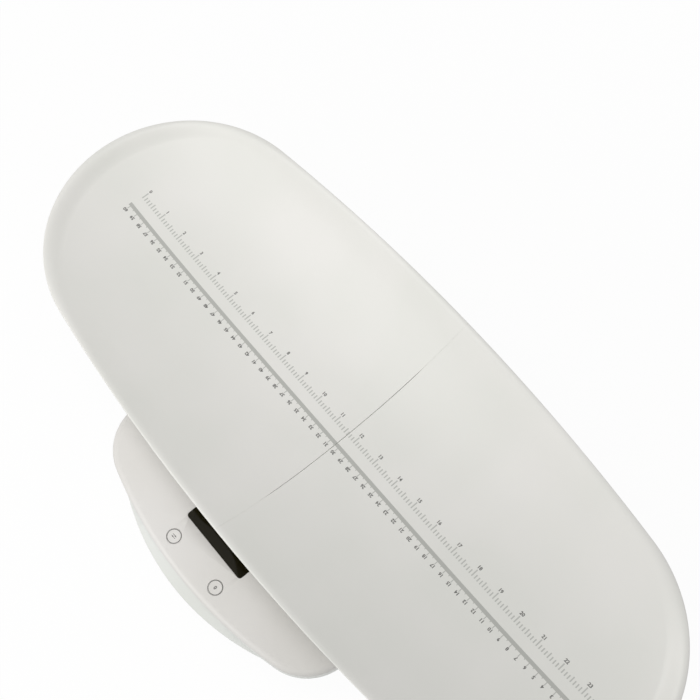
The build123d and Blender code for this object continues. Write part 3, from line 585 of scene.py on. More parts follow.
def inside_height(x, y, inset):
    """Top surface: bowl or wall, whichever is higher, and never above the rim. The wall's slope, start
    and shoulder pass from their values along the sides to those at the ends."""
    share = end_share(x, y)
    steep = WALL_SLOPE * (1 + (END_STEEPNESS - 1) * share)
    start = RIM_WIDTH + SIDE_WALL_INSET + (END_WALL_INSET - SIDE_WALL_INSET) * share
    wall = rim_z - (inset - start) * steep
    shoulder = SIDE_SHOULDER + (END_SHOULDER - SIDE_SHOULDER) * share
    return soft_min(soft_max(bowl(x, y), wall, VALLEY_BLEND), rim_z, shoulder)


def outside_height(x, y, inset):
    """Under surface: bowl a wall's thickness lower, or a wall of even slope, whichever is higher, and
    never above the underside of the rim."""
    wall = rim_z - RIM_HEIGHT - (inset - wall_inset) * WALL_SLOPE
    floor = soft_max(bowl(x, y, DISH_WALL), wall, VALLEY_BLEND)
    return soft_min(floor, rim_z - RIM_HEIGHT, RIM_UNDER_FILLET)


# %% [markdown]
# The dish's grid follows its outline. A column starts at the rim and runs inwards at right angles to
# it: towards the centre of the end circle at the ends, and towards the middle line along the sides. A
# row keeps a constant distance from the rim, so the rim, its rounded lip and the fillet below it get
# clean, even quads. The rows run from the middle of the inside, over the lip, back to the middle of
# the underside, which makes a closed shell. The two halves butt together with a hairline gap, widest
# in the middle, where the joint flanges are pulled together by screws only near their ends.

# %% One half of the dish
LIP_ROUND = 0.9               # outer upper edge of the rim
LIP_UNDER_ROUND = 0.8
FINE_INSET = 32.0             # rows are close together out to here
FINE_ROWS, COARSE_ROWS = 44, 26
SEAM_GAP = 0.17               # half the gap between the halves in the middle of the dish
SEAM_GAP_AT_RIM = 0.02        # and near the rim
SEAM_EDGE = 0.3               # rounding of each half's edge at the seam, in the middle of the dish
SEAM_EDGE_SHARE = 0.25        # share of that rounding which is left near the rim
SEAM_OPEN = 80.0              # the gap keeps its width out to here
SEAM_CLOSING = 14.0           # and closes over this distance
SEAM_FADE = 20.0              # distance from the seam at which the halves aren't moved back any more
NEAR_SEAM = (0, 0.07, 0.15, 0.3, 0.6, 1.3, 2.6, 4.6, 7.4)     # first columns, as distances from the seam
EVEN_COLUMNS_FROM = 11.0
SIDE_COLUMNS, END_COLUMNS = 58, 100
LIP_STEPS = 7


def outline_columns():
    """Directions of the outline's normal from the seam round the end and back: fine steps next to the
    seam, then even ones of about 4 mm along the side and round the end."""
    side_length = (math.pi / 2 - join_angle) * side_radius
    side = np.concatenate([NEAR_SEAM, np.linspace(EVEN_COLUMNS_FROM, side_length, SIDE_COLUMNS)])
    side = math.pi / 2 - side / side_radius
    end = np.linspace(join_angle, -join_angle, END_COLUMNS)[1:-1]
    return np.concatenate([side, end, -side[::-1]])


def on_end_arc(direction):
    """Whether the outline's normal belongs to the end circle and not to a side arc."""
    return np.abs(direction) <= join_angle + TINY


def from_outline(direction, inset):
    """Point at a distance inside the outline: the arc's centre plus its shortened radius along the
    normal. Side arcs have their centres far across the dish, and end arcs on the middle line."""
    at_end = on_end_arc(direction)
    radius = np.where(at_end, END_RADIUS, side_radius) - inset
    x = np.where(at_end, end_centre, 0.0) + radius * np.cos(direction)
    y = np.where(at_end, 0.0, -np.sign(direction) * side_centre) + radius * np.sin(direction)
    return x, y


def inset_rows(start, direction):
    """Distances from the rim, one row each: even out to the fine limit, and from there in equal shares
    of what is left to the middle line."""
    deepest = np.where(on_end_arc(direction), END_RADIUS,
                       side_radius - side_centre / np.abs(np.sin(direction)))
    fine = np.linspace(start, FINE_INSET, FINE_ROWS)[:, None] + 0 * direction
    share = np.linspace(0, 1, COARSE_ROWS + 1)[1:, None]
    return np.concatenate([fine, FINE_INSET + share * (deepest - FINE_INSET)])


def seam_openness(y):
    """1 in the middle of the dish, where the halves stand apart, and 0 outside the joint screws: one
    minus three times the square and plus twice the cube of how far the gap has closed."""
    out = np.clip((np.abs(y) - SEAM_OPEN) / SEAM_CLOSING, 0, 1)
    return 1 - out * out * (3 - 2 * out)


def seam_shift(x, y):
    """How far a point is moved back from the seam: half the gap, times the square of its nearness."""
    gap = SEAM_GAP_AT_RIM + (SEAM_GAP - SEAM_GAP_AT_RIM) * seam_openness(y)
    return gap * np.clip(1 - x / SEAM_FADE, 0, 1) ** 2


def half_dish(side):
    """Points and faces of the closed shell of one half, side being -1 for left and 1 for right. The rows
    are those of the inside, of the lip, which is two quarter circles, and of the underside."""
    direction = outline_columns()
    top_inset = inset_rows(LIP_ROUND, direction)[::-1]
    under_inset = inset_rows(LIP_UNDER_ROUND, direction)
    top_x, top_y = from_outline(direction, top_inset)
    under_x, under_y = from_outline(direction, under_inset)
    edge = SEAM_EDGE * (SEAM_EDGE_SHARE + (1 - SEAM_EDGE_SHARE) * seam_openness(top_y))
    groove = edge - np.sqrt(edge ** 2 - np.clip(edge - top_x, 0, edge) ** 2)
    top_z = inside_height(top_x, top_y, top_inset) - groove
    under_z = outside_height(under_x, under_y, under_inset)
    turn = np.linspace(0, np.pi / 2, LIP_STEPS)[1:, None] + 0 * direction
    lip_inset = np.concatenate([LIP_ROUND * (1 - np.sin(turn)), LIP_UNDER_ROUND * (1 - np.cos(turn))[:-1]])
    lip_z = np.concatenate([rim_z - LIP_ROUND * (1 - np.cos(turn)),
                            rim_z - RIM_HEIGHT + LIP_UNDER_ROUND * (1 - np.sin(turn))[:-1]])
    lip_x, lip_y = from_outline(direction, lip_inset)
    x, y, z = (np.concatenate(rows) for rows in ((top_x, lip_x, under_x), (top_y, lip_y, under_y),
                                                 (top_z, lip_z, under_z)))
    x = side * (x + seam_shift(x, y))
    rows, columns = x.shape
    points = np.stack([x, y + tray_y, z], axis=-1).reshape(-1, 3)
    return points, np.concatenate([grid_faces(rows, columns), seam_faces(rows, columns)])


def seam_faces(rows, columns):
    """The flat wall at the seam: on the first and the last column, each quad of the inside is joined to
    the one opposite it on the underside."""
    i = np.arange(rows // 2)
    j = rows - 1 - i
    quads = []
    for column in (0, columns - 1):
        at = [k * columns + column for k in (i[:-1], i[1:], j[1:], j[:-1])]
        quads.append(np.stack(at, axis=-1))
    return np.concatenate(quads)


def make_dish():
    """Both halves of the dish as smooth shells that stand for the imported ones."""
    for side, node in ((-1, "tray_left_half"), (1, "tray_right_half")):
        shell = add_mesh(node.replace("half", "dish"), [half_dish(side)], sharp=50.0)
        finish_piece(shell, tray_abs, "tray", [node])
        print(shell.name, len(shell.data.vertices), "points")


make_dish()

# %% [markdown]
# ## Under the dish
#
# Each half also has a flange along the seam, two stiffening webs and two hollow legs. On the moulding
# they grow out of the underside, so their tops follow it. A web is a thin wall along a straight line in
# plan: its cross-section, with a rounded lower edge, is carried along the line, and its top and bottom
# come from the dish's own height function, but it never reaches down to the base. The legs are rounded
# rectangles, hollow from below.

# %% Webs, legs and bosses
FLANGE = dict(thickness=3.0, depth=12.0, reach=104.0)
STIFFENER = dict(thickness=2.4, depth=8.0, reach=250.0, y=36.0)
LEG = dict(x=95.0, y=66.0, length=36.0, width=22.0, corner=5.0, wall=2.4)
LEG_ROUND = 0.5               # rounding of a leg's lower edges
LEG_ROUND_MIDDLE = 0.15       # and how far in the middle of that rounding lies
JOINT_SCREW = dict(ys=(62.0, 92.0), drop=5.5, boss_length=6.0, boss_radius=3.4)
BOSS_EDGE = 0.4               # bevel of a screw boss
BOSS_ROOT = 0.5               # how far it reaches into the flange
ROOT = 1.0                    # how far webs and legs reach up into the dish's wall
LEAST_WEB = 0.1               # height of a web where the dish leaves no room for more
WEB_STEPS = 90
WEB_EDGE_STEPS = 9            # points round a web's lower edge
WEB_CLEARANCE = 0.3           # the webs end this far above the base's top

web_floor = cover_high[2] + WEB_CLEARANCE


def inset_at(x, y):
    """Distance from a point, y from the middle line, to the outline: measured from the end circle's
    centre beyond the join of the arcs, and from the side arc's centre elsewhere."""
    x, y = np.abs(x), np.abs(y)
    beyond_join = y < math.tan(join_angle) * (x - end_centre)
    from_end = END_RADIUS - np.hypot(x - end_centre, y)
    return np.where(beyond_join, from_end, side_radius - np.hypot(x, y + side_centre))


def underside(x, y):
    """Height of the dish's underside at a point."""
    return outside_height(x, y, inset_at(x, y))


def web(x, y, half_thickness, depth):
    """A web along a line of points in plan. The cross-section is a strip with a round lower edge, and its
    height runs from just inside the dish's wall to a depth below it, plumb under the line, or to the
    base's top where that is higher."""
    line = np.stack([x, y], axis=-1)
    run = line[-1] - line[0]
    sideways = np.array([-run[1], run[0]]) / np.hypot(*run)
    turn = np.linspace(0, np.pi, WEB_EDGE_STEPS)
    off = np.concatenate([[-1.0], -np.cos(turn), [1.0]]) * half_thickness
    low = np.concatenate([[0.0], 1 - np.sin(turn), [0.0]]) * half_thickness
    is_top = np.array([True] + [False] * WEB_EDGE_STEPS + [True])
    plan = line[:, None, :] + off[None, :, None] * sideways
    top = underside(plan[..., 0], plan[..., 1]) + ROOT
    bottom = np.maximum(bowl(x, y, DISH_WALL + depth), web_floor)[:, None] + low
    z = np.where(is_top, top, np.minimum(bottom, top - LEAST_WEB))
    return loft(np.dstack([plan, z]) + np.array([0, tray_y, 0]))


def hollow_leg(x, y):
    """A leg: an outer and an inner rounded rectangle, joined below by a small rounding and closed above
    inside the dish's wall."""
    rows = []
    wall, size, middle = LEG["wall"], LEG_ROUND, LEG_ROUND_MIDDLE
    rims = ((0.0, None), (0.0, size), (middle, middle), (size, 0.0),
            (wall - size, 0.0), (wall - middle, middle), (wall, size), (wall, None))
    for inset, height in rims:
        loop = rounded_loop(LEG["length"] - 2 * inset, LEG["width"] - 2 * inset, LEG["corner"] - inset)
        loop = loop + np.array([x, y])
        z = underside(loop[:, 0], loop[:, 1]) + ROOT if height is None else leg_bottom + height
        rows.append(np.column_stack([loop[:, 0], loop[:, 1] + tray_y, z + 0 * loop[:, 0]]))
    rows = np.array(rows)
    return rows.reshape(-1, 3), grid_faces(*rows.shape[:2], ring=True, tube=True)


def screw_height(y):
    """Height of a joint screw's axis: a fixed drop below the dish's underside at the seam."""
    return bowl(np.array(0.0), np.array(y), DISH_WALL) - JOINT_SCREW["drop"]


def support_shapes(side):
    """Everything that hangs under one half."""
    middle = side * (FLANGE["thickness"] + SEAM_GAP) / 2
    y = np.linspace(-FLANGE["reach"], FLANGE["reach"], WEB_STEPS)
    shapes = [web(np.full(WEB_STEPS, middle), y, (FLANGE["thickness"] - SEAM_GAP) / 2, FLANGE["depth"])]
    x = side * np.linspace(FLANGE["thickness"], STIFFENER["reach"], WEB_STEPS)
    for y in (-STIFFENER["y"], STIFFENER["y"]):
        shapes.append(web(x, np.full(WEB_STEPS, y), STIFFENER["thickness"] / 2, STIFFENER["depth"]))
    shapes += [hollow_leg(side * LEG["x"], y) for y in (-LEG["y"], LEG["y"])]
    if side > 0:
        radius, length = JOINT_SCREW["boss_radius"], JOINT_SCREW["boss_length"]
        profile = ((0, length), (radius - BOSS_EDGE, length), (radius, length - BOSS_EDGE),
                   (radius, -BOSS_ROOT), (0, -BOSS_ROOT))
        for offset in JOINT_SCREW["ys"]:
            for y in (-offset, offset):
                place = (FLANGE["thickness"], tray_y + y, screw_height(y))
                shapes.append(turned(profile, place, "+x", segments=40))
    return shapes


for side, name in ((-1, "tray_left_supports"), (1, "tray_right_supports")):
    supports = add_mesh(name, support_shapes(side))
    finish_piece(supports, tray_abs, "tray")
    print(name, len(supports.data.vertices), "points")

# %% [markdown]
# ## The printed ruler
#
# The ruler is printed on the curved inside, so its marks are spaced along the surface, not along the
# table. A table of arc length against x, summed from small steps of the curve, turns a distance on the
# ruler into a place on the dish. Each mark is then a thin slab whose points are put on the dish's
# surface, a few hundredths above it. Digits come from Blender's built-in typeface: as a solid text mesh
# they bend over the dish in the same way.

# %% Where a mark lies on the dish
RULER_Y = -11.17              # centre line of the bar, from the dish's middle line
RULER_LENGTH = 600.0
RULER_START = -295.9          # distance of the zero inch mark from the seam, along the surface
INCH = 25.4
CENTIMETRE = 10.0
FILM = 0.05                   # height of the print above the plastic
PRINT_SHARP = 60.0            # degrees between faces from which a print's edge stays crisp
ARC_STEPS = 2000

fine_x = np.linspace(0, half_length, ARC_STEPS)
fine_slope = even_height(along, fine_x)[1]
fine_arc = np.concatenate([[0], np.cumsum(np.diff(fine_x) * np.sqrt(1 + fine_slope[1:] ** 2))])
print(f"seam to end: {fine_x[-1]:.1f} mm on the table, {fine_arc[-1]:.1f} mm along the surface")


def on_dish(s, y, lift):
    """Points on the inside of the dish: s is a distance along the surface from the seam, y is measured
    from the middle line, and lift is a height above the surface."""
    x = np.sign(s) * np.interp(np.abs(s), fine_arc, fine_x)
    z = inside_height(x, y, inset_at(x, y)) + lift
    return np.stack(np.broadcast_arrays(x, y + tray_y, z), axis=-1)


def strokes(s, y0, y1, width, steps):
    """Marks across the ruler: a slab of a given width at each s, from y0 to y1, in a few steps."""
    share = np.linspace(0, 1, steps)
    y = y0 + share[None, :, None] * (np.broadcast_to(y1, s.shape)[:, None, None] - y0)
    section_s = np.array([-0.5, 0.5, 0.5, -0.5]) * width
    section_lift = np.array([FILM, FILM, -FILM, -FILM])
    return many_lofts(on_dish(s[:, None, None] + section_s, y, section_lift))


# %% Bar and ticks
BAR_STEPS = 120
BAR_WIDTH = 3.5
BAR_START = RULER_START - 2.5
INCH_TICK_FOOT = RULER_Y + 12.0
INCH_TICKS = dict(width=1.15, eighth=4.2, half=5.6, whole=7.3)
CM_TICKS = dict(width=0.8, whole=3.5, half=1.1)


def bar_slab(s0, s1):
    """One stretch of the bar: its rectangular section carried along the dish."""
    s = np.linspace(s0, s1, BAR_STEPS)[:, None]
    y = RULER_Y + np.array([0.5, -0.5, -0.5, 0.5]) * BAR_WIDTH
    return loft(on_dish(s, y, np.array([FILM, FILM, -FILM, -FILM])))


def inch_ticks():
    """A tick every eighth of an inch, longer at the halves and longest at the whole inches."""
    eighths = np.arange(int(RULER_LENGTH / INCH * 8) + 1)
    reach = np.where(eighths % 8 == 0, INCH_TICKS["whole"],
                     np.where(eighths % 4 == 0, INCH_TICKS["half"], INCH_TICKS["eighth"]))
    s = RULER_START + eighths * INCH / 8
    return strokes(s, INCH_TICK_FOOT, INCH_TICK_FOOT + reach, INCH_TICKS["width"], steps=4)


def centimetre_ticks():
    """A tick under the bar at every centimetre, and a short one at every half."""
    halves = np.arange(int(RULER_LENGTH / CENTIMETRE * 2) + 1)
    reach = np.where(halves % 2 == 0, CM_TICKS["whole"], CM_TICKS["half"])
    foot = RULER_Y - BAR_WIDTH / 2
    s = RULER_START + halves * CENTIMETRE / 2
    return strokes(s, foot, foot - reach, CM_TICKS["width"], steps=3)


ruler_end = RULER_START + RULER_LENGTH
bar = add_mesh("ruler_bar", [bar_slab(BAR_START, -SEAM_GAP), bar_slab(SEAM_GAP, ruler_end)],
               PRINT_SHARP)
finish_piece(bar, bar_ink, "tray")
ticks = add_mesh("ruler_ticks", [inch_ticks(), centimetre_ticks()], PRINT_SHARP)
finish_piece(ticks, tick_ink, "tray")
print("ruler from", RULER_START, "to", ruler_end, "mm,", len(ticks.data.vertices), "points in the ticks")


# %% Digits
DIGIT_HEIGHT = 3.3            # height of a capital figure
DIGIT_PITCH = 0.65            # step from one figure to the next, as a share of that height
DIGIT_STROKE = 0.035          # extra stroke, as a share of the height
INCH_DIGIT_Y = RULER_Y + 22.1
CM_DIGIT_Y = RULER_Y - 7.2


def glyph(character):
    """A character from the built-in typeface as points and triangles: one unit tall and one thick, with
    its middle at the origin."""
    text = bpy.data.curves.new("glyph", "FONT")
    text.body = character
    text.extrude = 0.5
    text.offset = DIGIT_STROKE
    text.resolution_u = 3
    holder = bpy.data.objects.new("glyph", text)
    mesh = bpy.data.meshes.new_from_object(holder)
    points = np.empty(len(mesh.vertices) * 3)
    mesh.vertices.foreach_get("co", points)
    points = points.reshape(-1, 3)
    mesh.calc_loop_triangles()
    faces = np.empty(len(mesh.loop_triangles) * 3, int)
    mesh.loop_triangles.foreach_get("vertices", faces)
    low, high = points.min(axis=0), points.max(axis=0)
    points[:, :2] = (points[:, :2] - (low + high)[:2] / 2) / (high - low)[1]
    bpy.data.objects.remove(holder)
    bpy.data.curves.remove(text)
    bpy.data.meshes.remove(mesh)
    return points, faces.reshape(-1, 3)


glyphs = {character: glyph(character) for character in "0123456789"}


def number_on_dish(value, s, y, turned_over):
    """A number on the ruler: each figure is scaled, set beside the last, turned round by half a turn if
    it reads from the far side, and laid on the dish."""
    shapes = []
    word = str(value)
    for i, character in enumerate(word):
        points, faces = glyphs[character]
        right = (points[:, 0] + (i - (len(word) - 1) / 2) * DIGIT_PITCH) * DIGIT_HEIGHT
        up = points[:, 1] * DIGIT_HEIGHT
        facing = -1 if turned_over else 1
        shapes.append((on_dish(s + facing * right, y + facing * up, points[:, 2] * 2 * FILM), faces))
    return shapes


inch_numbers = [shape for i in range(int(RULER_LENGTH / INCH) + 1)
                for shape in number_on_dish(i, RULER_START + i * INCH, INCH_DIGIT_Y, False)]
cm_numbers = [shape for i in range(int(RULER_LENGTH / CENTIMETRE) + 1)
              for shape in number_on_dish(i, ruler_end - i * CENTIMETRE, CM_DIGIT_Y, True)]
for name, shapes in (("ruler_inch_figures", inch_numbers), ("ruler_centimetre_figures", cm_numbers)):
    figures = add_mesh(name, shapes, PRINT_SHARP)
    finish_piece(figures, digit_ink, "tray")
    print(name, len(figures.data.vertices), "points")

# %% [markdown]
# ## Base, keys and other mouldings
#
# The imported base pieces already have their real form: rounded edges, sockets, openings and ribs. What
# they lack for a close look is smooth shading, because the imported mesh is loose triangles. So each is
# copied, its doubles are merged, and edges sharper than 30 degrees are kept crisp. On large flat faces
# beside small roundings, ordinary smooth normals bend the light far into the flat. Weighting them by
# face area keeps the flat truly flat.

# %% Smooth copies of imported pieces
def smooth_copy(node, material, body, sharp=30.0):
    """A merged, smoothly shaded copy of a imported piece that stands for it."""
    copy = bpy.data.objects.new(node + "_surface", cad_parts[node].data.copy())
    copy.data.materials.clear()
    settle(copy, sharp)
    weighted = copy.modifiers.new("weighted_normals", "WEIGHTED_NORMAL")
    weighted.keep_sharp = True
    finish_piece(copy, material, body, [node])


corners = ("front_left", "front_right", "rear_left", "rear_right")
smooth_copy("top_cover", cover_abs, "base")
smooth_copy("lower_housing", housing_abs, "base")
smooth_copy("battery_cover", housing_abs, "battery_cover")
smooth_copy("socket_pads", pad_foam, "base")
smooth_copy("battery_springs", contact_nickel, "base")
smooth_copy("battery_leads", lead_sleeve, "base")
smooth_copy("unit_switch_plunger", chip_epoxy, "unit_key")
smooth_copy("tare_switch_plunger", chip_epoxy, "tare_key")
for corner in corners:
    smooth_copy(f"foot_{corner}", foot_abs, "base")
    smooth_copy(f"foot_retainer_{corner}", foot_abs, "base")
    smooth_copy(f"load_cell_{corner}", cell_steel, "base")
    smooth_copy(f"sensor_lead_{corner}", lead_sleeve, "base")

# %% [markdown]
# ## Window and keys
#
# The window is a flat plate with softly broken edges, pressed in flush. The keys are round, with a
# shallow hollow, about a tenth of a millimetre deep, that catches the light. Just inside their edge is a
# dark ring of painted shade, which stands for the shadow in the gap round the key. Each key also has a
# plain printed symbol: a pair of arrows for changing the unit, and a nought for bringing the reading back
# to zero.

# %% Window
WINDOW_CORNER = 2.9           # radius in plan
WINDOW_EDGE = 0.25            # rounding of the upper edge

lens_low, lens_high = box_of("display_lens")
lens_middle = (lens_low + lens_high) / 2
lens_size = lens_high - lens_low
lens_plate = rounded_plate(lens_middle[:2], lens_size[0], lens_size[1], WINDOW_CORNER,
                           lens_low[2], lens_high[2], WINDOW_EDGE)
lens = add_mesh("window_plate", [lens_plate])
finish_piece(lens, window, "base", ["display_lens"])
print("window", lens_size.round(1), "mm")

# %% Keys
KEY_RADIUS = 6.5
KEY_EDGE = 0.45               # rounding of a key's upper edge
HOLLOW_RADIUS = 6.0           # the hollow leaves a narrow flat beside that rounding
KEY_HOLLOW = 0.12             # its depth in the middle
KEY_FLANGE = dict(thickness=1.2, stem=0.6, stem_radius=2.5)
ARROW = dict(length=4.6, head=0.42, half_bar=0.22, half_head=0.65, offset=0.85)   # head is a share
GAP_SHADE_RING_RADIUS = 6.0             # middle of the dark ring of painted shade for the gap, next to the key's edge
GAP_SHADE_RING_WIDTH = 0.5


def key_body(centre, low, high, flange_radius):
    """A key: hollow whose depth falls with the square of the radius, rounded edge, side, flange under
    the cover, and stem."""
    hollow = [(radius, high - KEY_HOLLOW * (1 - (radius / HOLLOW_RADIUS) ** 2))
              for radius in np.linspace(0, HOLLOW_RADIUS, 12)]
    edge = [(KEY_RADIUS - inset, high - drop) for inset, drop in round_edge(KEY_EDGE, 6)[1:]]
    flange_low = low + KEY_FLANGE["stem"]
    flange_top = flange_low + KEY_FLANGE["thickness"]
    stem_radius = KEY_FLANGE["stem_radius"]
    foot = [(KEY_RADIUS, flange_top), (flange_radius, flange_top), (flange_radius, flange_low),
            (stem_radius, flange_low), (stem_radius, low), (0, low)]
    return turned(hollow + edge + foot, (centre[0], centre[1], 0), segments=96)


def arrow(x, y, z, direction):
    """A flat arrow that points along X or against it: a bar and a triangular head, as two thin prisms."""
    length, half_bar, half_head = ARROW["length"], ARROW["half_bar"], ARROW["half_head"]
    neck = length / 2 - length * ARROW["head"]
    outlines = ([(-length / 2, -half_bar), (neck, -half_bar), (neck, half_bar), (-length / 2, half_bar)],
                [(neck, -half_head), (length / 2, 0), (length / 2, 0), (neck, half_head)])
    shapes = []
    for outline in outlines:
        flat = np.array(outline) * direction + np.array([x, y])
        shapes.append(loft([np.column_stack([flat, np.full(4, h)]) for h in (z + FILM, z - 3 * FILM)]))
    return shapes


def make_key(name, legend):
    """One key with its printed symbol and a dark ring of painted shade that stands for the shadow in the
    gap round the key. Both reach a little into the plastic, so that no gap shows, and the ring's outer
    edge is lower, because the key's edge rounds off below it."""
    low, high = box_of(name)
    middle = (low + high) / 2
    body = add_mesh(name + "_cap", [key_body(middle, low[2], high[2], (high[0] - low[0]) / 2)])
    finish_piece(body, cover_abs, name, [name])
    symbol = add_mesh(name + "_symbol", legend(middle[0], middle[1], high[2] - KEY_HOLLOW))
    finish_piece(symbol, key_ink_and_gap_shade, name)
    # The ring is painted shade: dark ink that widens the thin shadow line of the gap round the key.
    near, far = GAP_SHADE_RING_RADIUS - GAP_SHADE_RING_WIDTH / 2, GAP_SHADE_RING_RADIUS + GAP_SHADE_RING_WIDTH / 2
    profile = [(near, FILM), (GAP_SHADE_RING_RADIUS, FILM), (far, 0.2 * FILM),
               (far, -2 * FILM), (near, -2 * FILM), (near, FILM)]
    ring = add_mesh(name + "_ring", [turned(profile, (middle[0], middle[1], high[2]), segments=128)])
    finish_piece(ring, key_ink_and_gap_shade, name)
    print(name, "at", middle[:2].round(1))


def two_arrows(x, y, z):
    """A pair of arrows that point opposite ways."""
    return arrow(x, y + ARROW["offset"], z, 1) + arrow(x, y - ARROW["offset"], z, -1)


def nought(x, y, z):
    """The figure nought."""
    points, faces = glyphs["0"]
    flat = points[:, :2] * DIGIT_HEIGHT + np.array([x, y])
    return [(np.column_stack([flat, z + points[:, 2] * 4 * FILM]), faces)]


make_key("unit_key", two_arrows)
make_key("tare_key", nought)

# %% [markdown]
# ## Screws, feet and batteries
#
# A cross-recessed screw is a turned body with a cross cut into its head. Both come from one height
# function on a polar grid: the domed head, minus a recess that is deepest in the middle of the cross,
# half as deep at the tips of its arms, and fades out at their edges. The rubber pads under the feet
# have concentric grooves, a profile turned about the foot's axis. The batteries are turned too: a
# jacket with rolled edges, a flat negative end and a button at the positive one.

# %% Screws
# Sizes of the head and of its cross, as shares of the head's radius or, for fall and depth, of its height.
HEAD_FALL = 0.55              # from the middle to the edge
CROSS_ARM = 0.15              # half the width of an arm
CROSS_REACH = 0.6
CROSS_DEPTH = 0.6
SCREW_SEGMENTS = 48           # points round a screw
TIP = 0.6                     # length of the point at the shank's end

# Radius and height of the head, radius and length of the shank.
SCREW_SIZES = {
    "housing_screws": (3.4, 2.0, 1.55, 16.4),
    "retainer_screws": (2.2, 0.8, 1.1, 6.6),
    "board_screws": (2.6, 1.6, 1.2, 5.2),
    "tray_joint_screws": (2.8, 2.0, 1.3, 11.0),
}


def fade_out(value, limit, width):
    """1 well inside a limit and 0 well outside, with an even slope as wide as a share of the limit."""
    return np.clip((limit - value) / (width * limit) + 0.5, 0, 1)


def screw(place, axis, head_radius, head, shank_radius, shank):
    """A pan-head screw whose head faces along the axis and whose seat is at its place. The head's height
    falls with the fourth power of the radius, and the cross is cut where either coordinate is small."""
    rim = head_radius * np.array([0.82, 0.91, 0.97, 1.0])
    r = np.concatenate([np.linspace(0, head_radius * 0.72, 15), rim])
    turn = np.linspace(0, 2 * np.pi, SCREW_SEGMENTS, endpoint=False)
    x, y = r[:, None] * np.cos(turn), r[:, None] * np.sin(turn)
    dome = head * (1 - HEAD_FALL * (r[:, None] / head_radius) ** 4) + 0 * x
    arm, reach = CROSS_ARM * head_radius, CROSS_REACH * head_radius
    thin = np.minimum(np.abs(x), np.abs(y))
    long = np.maximum(np.abs(x), np.abs(y))
    cut = fade_out(thin, arm, 0.3) * fade_out(long, reach, 0.2)
    z = dome - CROSS_DEPTH * head * cut * (1 - 0.5 * long / reach)
    rims = ((head_radius, 0.0), (shank_radius, 0.0), (shank_radius, -shank + TIP), (0.0, -shank))
    for radius, height in rims:
        x = np.vstack([x, radius * np.cos(turn)])
        y = np.vstack([y, radius * np.sin(turn)])
        z = np.vstack([z, np.full(len(turn), height)])
    points = np.stack([x, y, z], axis=-1) @ AXES[axis].T + np.array(place)
    return points.reshape(-1, 3), grid_faces(len(x), len(turn), ring=True)


# %% Places of the screws
HOUSING_SCREW = dict(x=62.0, front=22.0, rear=18.0, side=14.0)    # the last three from the base's edges
HOUSING_SEAT = 17.0           # height at which the housing screws' heads sit
RETAINER_SEAT = 6.0
EAR = 22.0                    # a retainer's screws stand this far to either side of its foot
BOARD_INSET = 4.0             # of the board's screws from its edges

base_middle = (cover_low + cover_high) / 2
board_low, board_high = box_of("main_board")


def mirrored(places):
    """Each place and its mirror image across the middle plane."""
    return [(sign * x, y) for x, y in places for sign in (-1, 1)]


def make_screws():
    """Each group of equal screws as one piece."""
    foot_boxes = [box_of(f"foot_{corner}") for corner in ("front_right", "rear_right")]
    feet = [((low + high) / 2)[:2] for low, high in foot_boxes]
    seats = mirrored([(HOUSING_SCREW["x"], cover_low[1] + HOUSING_SCREW["front"]),
                      (cover_high[0] - HOUSING_SCREW["side"], base_middle[1]),
                      (HOUSING_SCREW["x"], cover_high[1] - HOUSING_SCREW["rear"])])
    ears = mirrored([(x + ear, y) for x, y in feet for ear in (-EAR, EAR)])
    on_board = mirrored([(board_high[0] - BOARD_INSET, y)
                         for y in (board_low[1] + BOARD_INSET, board_high[1] - BOARD_INSET)])
    joints = [(-FLANGE["thickness"], tray_y + y, screw_height(y))
              for offset in JOINT_SCREW["ys"] for y in (-offset, offset)]
    groups = (
        ("housing_screws", "base", "-z", [(x, y, HOUSING_SEAT) for x, y in seats]),
        ("retainer_screws", "base", "-z", [(x, y, RETAINER_SEAT) for x, y in ears]),
        ("board_screws", "base", "-z", [(x, y, board_low[2]) for x, y in on_board]),
        ("tray_joint_screws", "tray", "-x", joints),
    )
    for name, body, axis, places in groups:
        screws = add_mesh(name + "_turned", [screw(place, axis, *SCREW_SIZES[name]) for place in places])
        finish_piece(screws, screw_zinc, body, [name])
        print(name, len(places))


make_screws()

# %% Foot pads
GROOVES = (3.0, 6.0, 9.0)     # radii at which the grooves run round the sole
GROOVE_DEPTH = 0.6
PAD_EDGE = 0.6


def foot_pad(centre, low, high, radius):
    """A rubber pad: flat top, straight side, rounded lower edge and half-round grooves in its sole."""
    sole = [(0, low)]
    turn = np.linspace(-np.pi / 2, np.pi / 2, 9)
    for groove in GROOVES:
        sole += [(groove + GROOVE_DEPTH * math.sin(angle), low + GROOVE_DEPTH * math.cos(angle))
                 for angle in turn]
    edge = [(radius - inset, low + rise) for inset, rise in round_edge(PAD_EDGE, 6)]
    profile = sole + edge + [(radius, high), (0, high)]
    return turned(profile, (centre[0], centre[1], 0), segments=72)


for corner in corners:
    low, high = box_of(f"foot_pad_{corner}")
    middle = (low + high) / 2
    pad = add_mesh(f"foot_sole_{corner}", [foot_pad(middle, low[2], high[2], (high[0] - low[0]) / 2)])
    finish_piece(pad, foot_rubber, "base", [f"foot_pad_{corner}"])
print("foot pads stand on z = 0, with soles", round(high[0] - low[0], 1), "mm across")

# %% Batteries
BATTERIES = (1, 2, 3, 4)
BUTTON_HEIGHT = 1.0           # of the positive button above the cell's shoulder
BAND_LENGTH = 11.0            # coloured band at the positive end


